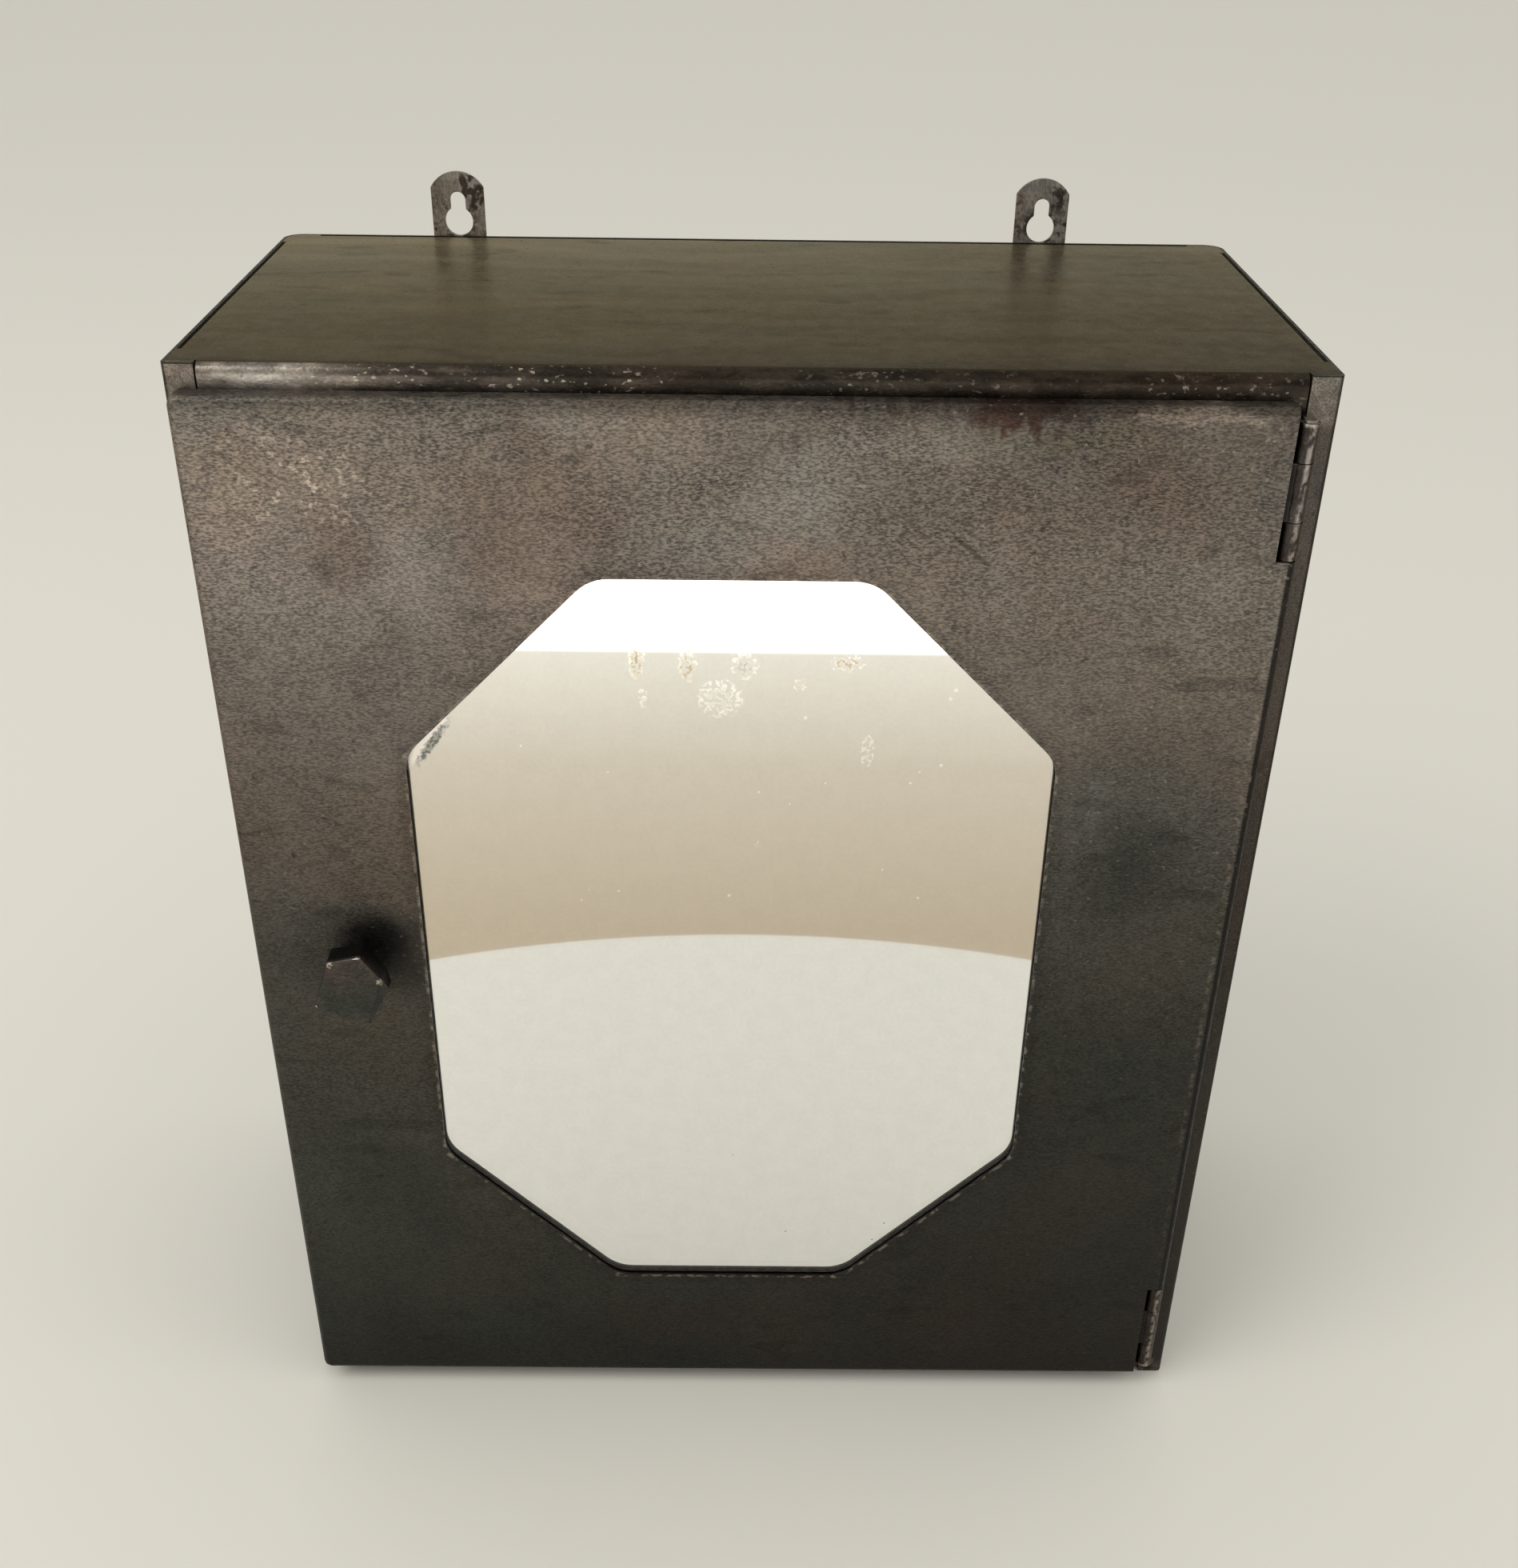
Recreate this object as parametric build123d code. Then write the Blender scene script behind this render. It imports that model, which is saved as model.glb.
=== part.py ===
"""Medicine cabinet of bent sheet steel with an octagonal mirror in its door.

Millimetres, +Z up. The front is -Y. The origin is the centre of the underside.
"""

import os

from build123d import *

# Case
CASE_WIDTH = 360.0
CASE_DEPTH = 175.0
CASE_HEIGHT = 430.0
SHEET = 1.2
BACK_BEND_R = 7.0
FRONT_BEND_R = 2.0
SIDE_FLANGE_WIDTH = 10.0

# Top and bottom panels
PANEL_BEND_R = 3.5
PANEL_LIP_HEIGHT = 10.0
PANEL_LIP_BEND_R = 2.0
LIP_CORNER_RELIEF = 12.0
FLANGE_SEAM = 0.6
CORNER_SEAM = 0.1
PANEL_HINGE_CLEARANCE = 0.7

# Door
DOOR_LEFT_INSET = 2.5
DOOR_RIGHT_INSET = 7.5
DOOR_TOP_INSET = 7.5
DOOR_BOTTOM_INSET = 7.5
DOOR_DEPTH = 9.0
DOOR_GAP = 1.2
DOOR_EDGE_R = 2.5
DOOR_CORNER_R = 3.5

# Octagonal opening, placed by what is left of the door around it
OPENING_LEFT_MARGIN = 61.2
OPENING_RIGHT_MARGIN = 68.8
OPENING_TOP_MARGIN = 57.1
OPENING_BOTTOM_MARGIN = 55.6
OPENING_CUT = 64.5
OPENING_CORNER_R = 15.0

# Mirror pack
GLASS_THICKNESS = 3.0
GLASS_OVERLAP = 12.0
GLASS_CORNER_R = 3.0
BACKING_THICKNESS = 2.5
CLIP_THICKNESS = 1.0
CLIP_WIDTH = 12.0
CLIP_FOOT = 8.0
CLIP_FINGER = 9.0
CLIP_SPREAD_X = 140.0
CLIP_SPREAD_Z = 200.0

# Hinges
KNUCKLE_R = 3.1
PIN_R = 1.6
PIN_PRESS_CLEARANCE = 0.02
PIN_RUNNING_CLEARANCE = 0.07
PIN_HEAD_R = 2.3
PIN_HEAD_HEIGHT = 0.8
HINGE_LENGTH = 44.0
HINGE_END_INSET = 12.2
OUTER_KNUCKLE_LENGTH = 12.3
KNUCKLE_GAP = 0.3
HINGE_AXIS_INSET = 2.8
LEAF_THICKNESS = 1.2
LEAF_REACH = 8.0
DOOR_LEAF_WIDTH = 16.0
DOOR_LEAF_KNUCKLE_CLEARANCE = 0.8
NOTCH_SIDE_CLEARANCE = 1.1
NOTCH_END_CLEARANCE = 0.5

# Knob and latch
KNOB_GLASS_CLEARANCE = 7.5
# The hand-cut head: an angle in degrees and a radius for each corner
KNOB_CORNERS = ((115, 16.0), (73, 17.8), (30, 14.2), (3, 13.6), (-64, 14.0), (-107, 10.8), (-159, 14.5))
KNOB_FACE_SHRINK = 0.95
KNOB_CHAMFER = 1.4
KNOB_FLAT_ANGLE = -19.0
KNOB_FLAT_DISTANCE = 9.0
KNOB_FLAT_STEEPNESS = 1.0
KNOB_HEAD_THICKNESS = 9.0
KNOB_NECK_R = 5.5
KNOB_NECK_LENGTH = 8.6
KNOB_CLEARANCE = 0.3
SPINDLE_R = 3.0
SPINDLE_GRIP = 11.0
SPINDLE_FIT = 0.05
SPINDLE_HOLE_CLEARANCE = 0.08
SLEEVE_R = 5.0
TONGUE_THICKNESS = 1.5
TONGUE_WIDTH = 12.0
TONGUE_TIP_CLEARANCE = 2.3
TONGUE_FLANGE_CLEARANCE = 0.7
TONGUE_SQUARE = 4.2
THREAD_R = 2.0
THREAD_TAIL = 1.0
WASHER_R = 4.5
WASHER_THICKNESS = 0.8
NUT_FLATS = 7.0
NUT_THICKNESS = 3.2

# Shelves
SHELF_SHEET = 1.0
SHELF_SPACING = 140.0
SHELF_LIP = 12.0
SHELF_BEND_R = 2.0
SHELF_SETBACK = 16.0
SHELF_CLEARANCE = 0.5
RAIL_LEG = 10.0
RAIL_SHEET = 1.2
RAIL_BEND_R = 1.8
RAIL_FRONT_MARGIN = 4.0
RAIL_BACK_MARGIN = 22.0

# Hangers
HANGER_LEFT_INSET = 66.5
HANGER_RIGHT_INSET = 70.0
HANGER_WIDTH = 20.0
HANGER_SHEET = 1.5
HANGER_RISE = 23.4
HANGER_DROP = 45.0
HANGER_CROWN_R = 11.6
HANGER_FOOT_R = 4.0
KEYHOLE_R = 5.3
KEYHOLE_RIM_RISE = 0.1
KEYHOLE_SLOT_WIDTH = 5.8
KEYHOLE_SLOT_RISE = 7.8
RIVET_R = 1.6
RIVET_HEAD_R = 3.2
RIVET_HEAD_HEIGHT = 1.0
RIVET_SINK_R = 2.8
RIVET_SINK_DEPTH = 1.0
RIVET_TOP_DROP = 14.0
RIVET_PITCH = 22.0
RIVET_FIT = 0.02

# Places that follow from the sizes above
FRONT_Y = -CASE_DEPTH / 2
BACK_Y = CASE_DEPTH / 2
SIDE_X = CASE_WIDTH / 2
MID_Z = CASE_HEIGHT / 2
INNER_X = SIDE_X - SHEET
INNER_BACK_R = BACK_BEND_R - SHEET
FLANGE_EDGE_X = SIDE_X - SIDE_FLANGE_WIDTH

DOOR_LEFT_X = -SIDE_X + DOOR_LEFT_INSET
DOOR_RIGHT_X = SIDE_X - DOOR_RIGHT_INSET
DOOR_LOW_Z = DOOR_BOTTOM_INSET
DOOR_HIGH_Z = CASE_HEIGHT - DOOR_TOP_INSET
DOOR_FACE_Y = FRONT_Y - DOOR_DEPTH
DOOR_REAR_Y = FRONT_Y - DOOR_GAP
DOOR_INSIDE_Y = DOOR_FACE_Y + SHEET

OPENING_LEFT_X = DOOR_LEFT_X + OPENING_LEFT_MARGIN
OPENING_RIGHT_X = DOOR_RIGHT_X - OPENING_RIGHT_MARGIN
OPENING_LOW_Z = DOOR_LOW_Z + OPENING_BOTTOM_MARGIN
OPENING_HIGH_Z = DOOR_HIGH_Z - OPENING_TOP_MARGIN
OPENING_WIDTH = OPENING_RIGHT_X - OPENING_LEFT_X
OPENING_HEIGHT = OPENING_HIGH_Z - OPENING_LOW_Z
OPENING_X = (OPENING_LEFT_X + OPENING_RIGHT_X) / 2
OPENING_Z = (OPENING_LOW_Z + OPENING_HIGH_Z) / 2
GLASS_WIDTH = OPENING_WIDTH + 2 * GLASS_OVERLAP
GLASS_HEIGHT = OPENING_HEIGHT + 2 * GLASS_OVERLAP
PACK_REAR_Y = DOOR_INSIDE_Y + GLASS_THICKNESS + BACKING_THICKNESS

HINGE_X = DOOR_RIGHT_X - HINGE_AXIS_INSET
HINGE_Y = DOOR_FACE_Y + KNUCKLE_R
HINGE_LOW_Z = HINGE_END_INSET
HINGE_HIGH_Z = CASE_HEIGHT - HINGE_END_INSET - HINGE_LENGTH
PANEL_FLANGE_HEIGHT = HINGE_END_INSET - PANEL_HINGE_CLEARANCE
NOTCH_X = HINGE_X - KNUCKLE_R - NOTCH_SIDE_CLEARANCE

KNOB_X = OPENING_X - GLASS_WIDTH / 2 - KNOB_GLASS_CLEARANCE - SLEEVE_R
KNOB_Z = OPENING_Z
NECK_REAR_Y = DOOR_FACE_Y - KNOB_CLEARANCE
HEAD_REAR_Y = NECK_REAR_Y - KNOB_NECK_LENGTH
HEAD_FACE_Y = HEAD_REAR_Y - KNOB_HEAD_THICKNESS
SPINDLE_FRONT_Y = NECK_REAR_Y - SPINDLE_GRIP
TONGUE_FRONT_Y = FRONT_Y + SHEET + TONGUE_FLANGE_CLEARANCE
TONGUE_REAR_Y = TONGUE_FRONT_Y + TONGUE_THICKNESS
TONGUE_REACH = KNOB_X + INNER_X - TONGUE_TIP_CLEARANCE
WASHER_REAR_Y = TONGUE_REAR_Y + WASHER_THICKNESS
NUT_REAR_Y = WASHER_REAR_Y + NUT_THICKNESS

HANGER_LEFT_X = -SIDE_X + HANGER_LEFT_INSET
HANGER_RIGHT_X = SIDE_X - HANGER_RIGHT_INSET
HANGER_REAR_Y = BACK_Y + HANGER_SHEET
KEYHOLE_Z = CASE_HEIGHT + KEYHOLE_RIM_RISE + KEYHOLE_R


def block(x0, x1, y0, y1, z0, z1):
    """A box between two corners."""
    return Pos(x0, y0, z0) * Box(x1 - x0, y1 - y0, z1 - z0, align=(Align.MIN,) * 3)


def rod(radius, x, z, y0, y1):
    """A round bar along Y."""
    plane = Plane(origin=(x, y0, z), x_dir=(1, 0, 0), z_dir=(0, 1, 0))
    return extrude(plane * Circle(radius), y1 - y0)


def post(radius, x, y, z0, z1):
    """A round bar along Z."""
    return extrude(Pos(x, y, z0) * Circle(radius), z1 - z0)


def angle_section(leg_a, leg_b, thickness, bend_r):
    """A bent L with its outer corner at the origin, legs along -X and -Y."""
    outer = Pos(-leg_a / 2, -leg_b / 2) * Rectangle(leg_a, leg_b)
    outer = fillet(outer.vertices().sort_by(lambda v: v.X + v.Y)[-1], bend_r)
    inner_a, inner_b = leg_a - thickness, leg_b - thickness
    inner = Pos(-leg_a + inner_a / 2, -leg_b + inner_b / 2) * Rectangle(inner_a, inner_b)
    inner_r = bend_r - thickness
    if inner_r > 0:
        inner = fillet(inner.vertices().sort_by(lambda v: v.X + v.Y)[-1], inner_r)
    return outer - inner


def angle_bar(outward, start, length, section):
    """A bent strip with its corner running from start and one leg hanging down."""
    along = Vector(*outward).cross(Vector(0, 0, 1))
    return extrude(Plane(origin=start, x_dir=outward, z_dir=along) * section, length)


def save(shape, node):
    """Write one node's STEP file."""
    export_step(shape, f"parts/{node}.step")


def plan_outline(inset, back_r, front_r):
    """The case's plan, drawn in by an inset from the outside of the sheet."""
    plan = Rectangle(CASE_WIDTH - 2 * inset, CASE_DEPTH - 2 * inset)
    back = plan.vertices().filter_by(lambda v: v.Y > 0)
    plan = fillet(back, back_r)
    front = plan.vertices().filter_by(lambda v: v.Y < -CASE_DEPTH / 2 + inset + 0.01)
    return fillet(front, front_r) if front_r > 0 else plan


def case_wrap():
    """Back, sides and front side flanges, bent from one sheet."""
    ring = plan_outline(0, BACK_BEND_R, FRONT_BEND_R)
    ring -= plan_outline(SHEET, INNER_BACK_R, FRONT_BEND_R - SHEET)
    ring -= Pos(0, FRONT_Y) * Rectangle(2 * FLANGE_EDGE_X, 4 * SHEET)
    shape = extrude(ring, CASE_HEIGHT)
    for x in (HANGER_LEFT_X, HANGER_RIGHT_X):
        for z in rivet_heights():
            shape -= rod(RIVET_R + RIVET_FIT, x, z, BACK_Y - 2 * SHEET, BACK_Y + SHEET)
    return shape


def top_panel():
    """Top sheet with a front flange and lips that lie against the back and sides."""
    high, low = CASE_HEIGHT, CASE_HEIGHT - SHEET
    flange_x = FLANGE_EDGE_X - FLANGE_SEAM
    bend_y = FRONT_Y + PANEL_BEND_R
    tab_y = FRONT_Y + SHEET + CORNER_SEAM
    inner_back_y = BACK_Y - SHEET
    lip_y0, lip_y1 = bend_y + LIP_CORNER_RELIEF, inner_back_y - LIP_CORNER_RELIEF
    lip_x = INNER_X - LIP_CORNER_RELIEF

    plate = block(-INNER_X, INNER_X, tab_y, inner_back_y, low, high)
    plate = fillet(plate.edges().filter_by(Axis.Z).group_by(Axis.Y)[-1], INNER_BACK_R + CORNER_SEAM)
    plate = fillet(plate.edges().filter_by(Axis.Z).group_by(Axis.Y)[0], FRONT_BEND_R - SHEET + CORNER_SEAM)
    plate -= block(-flange_x - FLANGE_SEAM, flange_x + FLANGE_SEAM, tab_y, bend_y, low, high)
    for side in (-1, 1):
        edge = sorted((side * INNER_X, side * (INNER_X - PANEL_LIP_BEND_R)))
        plate -= block(*edge, lip_y0, lip_y1, low, high)
    plate -= block(-lip_x, lip_x, inner_back_y - PANEL_LIP_BEND_R, inner_back_y, low, high)

    flange = angle_section(PANEL_BEND_R, PANEL_FLANGE_HEIGHT, SHEET, PANEL_BEND_R)
    lip = angle_section(PANEL_LIP_BEND_R, PANEL_LIP_HEIGHT, SHEET, PANEL_LIP_BEND_R)
    side_lip = angle_bar((1, 0, 0), (INNER_X, lip_y1, high), lip_y1 - lip_y0, lip)
    shape = plate + angle_bar((0, -1, 0), (flange_x, FRONT_Y, high), 2 * flange_x, flange)
    shape += angle_bar((0, 1, 0), (-lip_x, inner_back_y, high), 2 * lip_x, lip)
    return shape + side_lip + mirror(side_lip, Plane.YZ)


def bottom_panel():
    """The top panel turned over, flush with the lower edge of the wrap."""
    return mirror(top_panel(), Plane.XY.offset(MID_Z))


def hinge_spans():
    """The lower end of each hinge barrel, by hinge name."""
    return {"upper": HINGE_HIGH_Z, "lower": HINGE_LOW_Z}


def door_shell():
    """The folded door sheet before anything is cut out of it."""
    outer = block(DOOR_LEFT_X, DOOR_RIGHT_X, DOOR_FACE_Y, DOOR_REAR_Y, DOOR_LOW_Z, DOOR_HIGH_Z)
    outer = fillet(outer.edges().filter_by(Axis.Y), DOOR_CORNER_R)
    outer = fillet(outer.faces().sort_by(Axis.Y)[0].edges(), DOOR_EDGE_R)
    inner = block(
        DOOR_LEFT_X + SHEET,
        DOOR_RIGHT_X - SHEET,
        DOOR_INSIDE_Y,
        DOOR_REAR_Y + SHEET,
        DOOR_LOW_Z + SHEET,
        DOOR_HIGH_Z - SHEET,
    )
    inner = fillet(inner.edges().filter_by(Axis.Y), DOOR_CORNER_R - SHEET)
    inner = fillet(inner.faces().sort_by(Axis.Y)[0].edges(), DOOR_EDGE_R - SHEET)
    return outer - inner


def opening_outline():
    """The octagon with rounded corners, in a plane that faces the front."""
    half_w, half_h = OPENING_WIDTH / 2, OPENING_HEIGHT / 2
    in_w, in_h = half_w - OPENING_CUT, half_h - OPENING_CUT
    corner = [(half_w, in_h), (in_w, half_h)]
    points = []
    for sx, sz, order in ((1, 1, 1), (-1, 1, -1), (-1, -1, 1), (1, -1, -1)):
        points += [(sx * x, sz * z) for x, z in corner[::order]]
    outline = make_face(Polyline(*points, close=True))
    return fillet(outline.vertices(), OPENING_CORNER_R)


def door_pan():
    """Door sheet with its opening, its two hinge notches and the spindle hole."""
    shape = door_shell()
    plane = Plane(origin=(OPENING_X, DOOR_FACE_Y - SHEET, OPENING_Z), x_dir=(1, 0, 0), z_dir=(0, -1, 0))
    shape -= extrude(plane * opening_outline(), -3 * SHEET)
    shape -= rod(SPINDLE_R + SPINDLE_HOLE_CLEARANCE, KNOB_X, KNOB_Z, DOOR_FACE_Y - SHEET, DOOR_INSIDE_Y + SHEET)
    front, rear = DOOR_FACE_Y - SHEET, FRONT_Y
    upper_end = HINGE_HIGH_Z - NOTCH_END_CLEARANCE
    lower_end = HINGE_LOW_Z + HINGE_LENGTH + NOTCH_END_CLEARANCE
    shape -= block(NOTCH_X, SIDE_X, front, rear, upper_end, CASE_HEIGHT)
    shape -= block(NOTCH_X, SIDE_X, front, rear, 0, lower_end)
    return shape


def case_leaf(low_z):
    """Leaf behind the right side flange, with the two outer knuckles."""
    high_z = low_z + HINGE_LENGTH
    flange_rear_y = FRONT_Y + SHEET
    leaf_rear_y = flange_rear_y + LEAF_THICKNESS
    web_x = FLANGE_EDGE_X - LEAF_THICKNESS
    web = block(web_x, FLANGE_EDGE_X, FRONT_Y, leaf_rear_y, low_z, high_z)
    leaf = block(web_x, FLANGE_EDGE_X + LEAF_REACH, flange_rear_y, leaf_rear_y, low_z, high_z)
    shape = web + leaf
    for z0, z1 in ((low_z, low_z + OUTER_KNUCKLE_LENGTH), (high_z - OUTER_KNUCKLE_LENGTH, high_z)):
        shape += post(KNUCKLE_R, HINGE_X, HINGE_Y, z0, z1)
        shape += block(web_x, FLANGE_EDGE_X, HINGE_Y, leaf_rear_y, z0, z1)
    return shape - post(PIN_R + PIN_PRESS_CLEARANCE, HINGE_X, HINGE_Y, low_z, high_z)


def door_leaf(low_z):
    """Leaf behind the door sheet, with the middle knuckle."""
    high_z = low_z + HINGE_LENGTH
    knuckle_low = low_z + OUTER_KNUCKLE_LENGTH + KNUCKLE_GAP
    knuckle_high = high_z - OUTER_KNUCKLE_LENGTH - KNUCKLE_GAP
    rear_y = DOOR_INSIDE_Y + LEAF_THICKNESS
    leaf_x = HINGE_X - KNUCKLE_R - DOOR_LEAF_KNUCKLE_CLEARANCE
    shape = block(leaf_x - DOOR_LEAF_WIDTH, leaf_x, DOOR_INSIDE_Y, rear_y, low_z, high_z)
    shape += block(leaf_x, HINGE_X, DOOR_INSIDE_Y, rear_y, knuckle_low, knuckle_high)
    shape += post(KNUCKLE_R, HINGE_X, HINGE_Y, knuckle_low, knuckle_high)
    return shape - post(PIN_R + PIN_RUNNING_CLEARANCE, HINGE_X, HINGE_Y, low_z, high_z)


def hinge_pin(low_z):
    """Pin through all three knuckles, with a low head at the end away from the door's middle."""
    high_z = low_z + HINGE_LENGTH
    head = post(PIN_HEAD_R, HINGE_X, HINGE_Y, high_z, high_z + PIN_HEAD_HEIGHT)
    head = chamfer(head.faces().sort_by(Axis.Z)[-1].edges(), PIN_HEAD_HEIGHT / 2)
    shape = post(PIN_R, HINGE_X, HINGE_Y, low_z, high_z) + head
    return shape if low_z > MID_Z else mirror(shape, Plane.XY.offset((low_z + high_z) / 2))


def pack_sheet(front_y, thickness):
    """A rectangular sheet of the mirror pack with eased corners."""
    x0, z0 = OPENING_X - GLASS_WIDTH / 2, OPENING_Z - GLASS_HEIGHT / 2
    sheet = block(x0, x0 + GLASS_WIDTH, front_y, front_y + thickness, z0, z0 + GLASS_HEIGHT)
    return fillet(sheet.edges().filter_by(Axis.Y), GLASS_CORNER_R)


def mirror_clips():
    """Z-bent strips: foot on the door sheet, finger over the back of the board."""
    t = CLIP_THICKNESS
    edge_x, edge_z = GLASS_WIDTH / 2, GLASS_HEIGHT / 2
    depth = PACK_REAR_Y - DOOR_INSIDE_Y

    def clip(edge):
        foot = block(edge, edge + CLIP_FOOT, 0, t, -CLIP_WIDTH / 2, CLIP_WIDTH / 2)
        riser = block(edge, edge + t, 0, depth + t, -CLIP_WIDTH / 2, CLIP_WIDTH / 2)
        finger = block(edge - CLIP_FINGER, edge + t, depth, depth + t, -CLIP_WIDTH / 2, CLIP_WIDTH / 2)
        return foot + riser + finger

    clips = []
    for side in (-1, 1):
        for step in (-0.5, 0.5):
            turn = 0 if side > 0 else 180
            flat = Rot(0, turn, 0) * clip(edge_x)
            clips.append(Pos(OPENING_X, DOOR_INSIDE_Y, OPENING_Z + step * CLIP_SPREAD_Z) * flat)
            upright = Rot(0, -90 * side, 0) * clip(edge_z)
            clips.append(Pos(OPENING_X + step * CLIP_SPREAD_X, DOOR_INSIDE_Y, OPENING_Z) * upright)
    return Compound(children=clips)


def knob_outline():
    """The knob's uneven outline."""
    points = [Vector(radius, 0).rotate(Axis.Z, angle) for angle, radius in KNOB_CORNERS]
    return make_face(Polyline(*points, close=True))


def knob_flat():
    """The plane of the flat that is hammered into the lower right of the head."""
    out = Vector(1, 0).rotate(Axis.Z, KNOB_FLAT_ANGLE)
    start = (KNOB_X + KNOB_FLAT_DISTANCE * out.X, HEAD_FACE_Y, KNOB_Z + KNOB_FLAT_DISTANCE * out.Y)
    return Plane(origin=start, z_dir=(out.X, -1 / KNOB_FLAT_STEEPNESS, out.Y))


def knob_head():
    """Faceted head on a round neck, bored for the spindle."""
    outline = knob_outline()
    rear = Plane(origin=(KNOB_X, HEAD_REAR_Y, KNOB_Z), x_dir=(1, 0, 0), z_dir=(0, -1, 0))
    shoulder = rear.offset(KNOB_HEAD_THICKNESS - KNOB_CHAMFER)
    face = rear.offset(KNOB_HEAD_THICKNESS)
    head = extrude(rear * outline, KNOB_HEAD_THICKNESS - KNOB_CHAMFER)
    head += loft([shoulder * outline, face * scale(outline, KNOB_FACE_SHRINK)], ruled=True)
    head = split(head, bisect_by=knob_flat(), keep=Keep.BOTTOM)
    neck = rod(KNOB_NECK_R, KNOB_X, KNOB_Z, HEAD_REAR_Y, NECK_REAR_Y)
    bore = rod(SPINDLE_R + SPINDLE_FIT, KNOB_X, KNOB_Z, SPINDLE_FRONT_Y, NECK_REAR_Y)
    return head + neck - bore


def knob_spindle():
    """Stud: round through the door, square in the tongue, threaded at the end."""
    shape = rod(SPINDLE_R, KNOB_X, KNOB_Z, SPINDLE_FRONT_Y, TONGUE_FRONT_Y)
    half = TONGUE_SQUARE / 2
    square = (KNOB_X - half, KNOB_X + half, TONGUE_FRONT_Y, TONGUE_REAR_Y, KNOB_Z - half, KNOB_Z + half)
    shape += block(*square)
    tail = rod(THREAD_R, KNOB_X, KNOB_Z, TONGUE_REAR_Y, NUT_REAR_Y + THREAD_TAIL)
    return shape + chamfer(tail.faces().sort_by(Axis.Y)[-1].edges(), THREAD_TAIL / 2)


def spindle_sleeve():
    """Spacer tube that keeps the tongue clear of the door sheet."""
    front_y = DOOR_INSIDE_Y + KNOB_CLEARANCE
    shape = rod(SLEEVE_R, KNOB_X, KNOB_Z, front_y, TONGUE_FRONT_Y)
    return shape - rod(SPINDLE_R + SPINDLE_FIT, KNOB_X, KNOB_Z, front_y, TONGUE_FRONT_Y)


def latch_tongue():
    """Bar that hangs down when open and turns behind the left side flange."""
    centre = Rectangle(TONGUE_WIDTH, TONGUE_REACH - TONGUE_WIDTH / 2)
    length = TONGUE_REACH - TONGUE_WIDTH / 2
    outline = Pos(0, -length / 2) * centre
    outline += Circle(TONGUE_WIDTH / 2)
    outline += Pos(0, -length) * Circle(TONGUE_WIDTH / 2)
    outline -= Rectangle(TONGUE_SQUARE + 2 * SPINDLE_FIT, TONGUE_SQUARE + 2 * SPINDLE_FIT)
    plane = Plane(origin=(KNOB_X, TONGUE_FRONT_Y, KNOB_Z), x_dir=(1, 0, 0), z_dir=(0, -1, 0))
    return extrude(plane * outline, -TONGUE_THICKNESS)


def latch_washer():
    """Flat washer behind the tongue."""
    shape = rod(WASHER_R, KNOB_X, KNOB_Z, TONGUE_REAR_Y, WASHER_REAR_Y)
    return shape - rod(THREAD_R + SPINDLE_FIT, KNOB_X, KNOB_Z, TONGUE_REAR_Y, WASHER_REAR_Y)


def latch_nut():
    """Hexagon nut on the threaded end."""
    plane = Plane(origin=(KNOB_X, WASHER_REAR_Y, KNOB_Z), x_dir=(1, 0, 0), z_dir=(0, 1, 0))
    hexagon = RegularPolygon(NUT_FLATS / 2, 6, major_radius=False)
    shape = extrude(plane * hexagon, NUT_THICKNESS)
    return shape - rod(THREAD_R + SPINDLE_FIT, KNOB_X, KNOB_Z, WASHER_REAR_Y, NUT_REAR_Y)


def shelf(top_z):
    """Folded shelf with a lip at the front and the back."""
    half = INNER_X - SHELF_CLEARANCE
    front_y = FRONT_Y + SHELF_SETBACK
    back_y = BACK_Y - SHEET - SHELF_CLEARANCE
    corner = INNER_BACK_R + SHELF_CLEARANCE
    lip_half = half - corner
    plate = block(-half, half, front_y + SHELF_BEND_R, back_y, top_z - SHELF_SHEET, top_z)
    plate = fillet(plate.edges().filter_by(Axis.Z).group_by(Axis.Y)[-1], corner)
    plate -= block(-lip_half, lip_half, back_y - SHELF_BEND_R, back_y, top_z - SHELF_SHEET, top_z)
    lip = angle_section(SHELF_BEND_R, SHELF_LIP, SHELF_SHEET, SHELF_BEND_R)
    shape = plate + angle_bar((0, -1, 0), (half, front_y, top_z), 2 * half, lip)
    return shape + angle_bar((0, 1, 0), (-lip_half, back_y, top_z), 2 * lip_half, lip)


def shelf_rail(top_z, side):
    """Angle on a side wall, under one end of a shelf."""
    y0 = FRONT_Y + SHELF_SETBACK + RAIL_FRONT_MARGIN
    y1 = BACK_Y - RAIL_BACK_MARGIN
    section = angle_section(RAIL_LEG, RAIL_LEG, RAIL_SHEET, RAIL_BEND_R)
    rail = angle_bar((1, 0, 0), (INNER_X, y1, top_z - SHELF_SHEET), y1 - y0, section)
    return rail if side > 0 else mirror(rail, Plane.YZ)


def rivet_heights():
    """The heights of the two rivets of a hanger plate."""
    first = CASE_HEIGHT - RIVET_TOP_DROP
    return (first, first - RIVET_PITCH)


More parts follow.
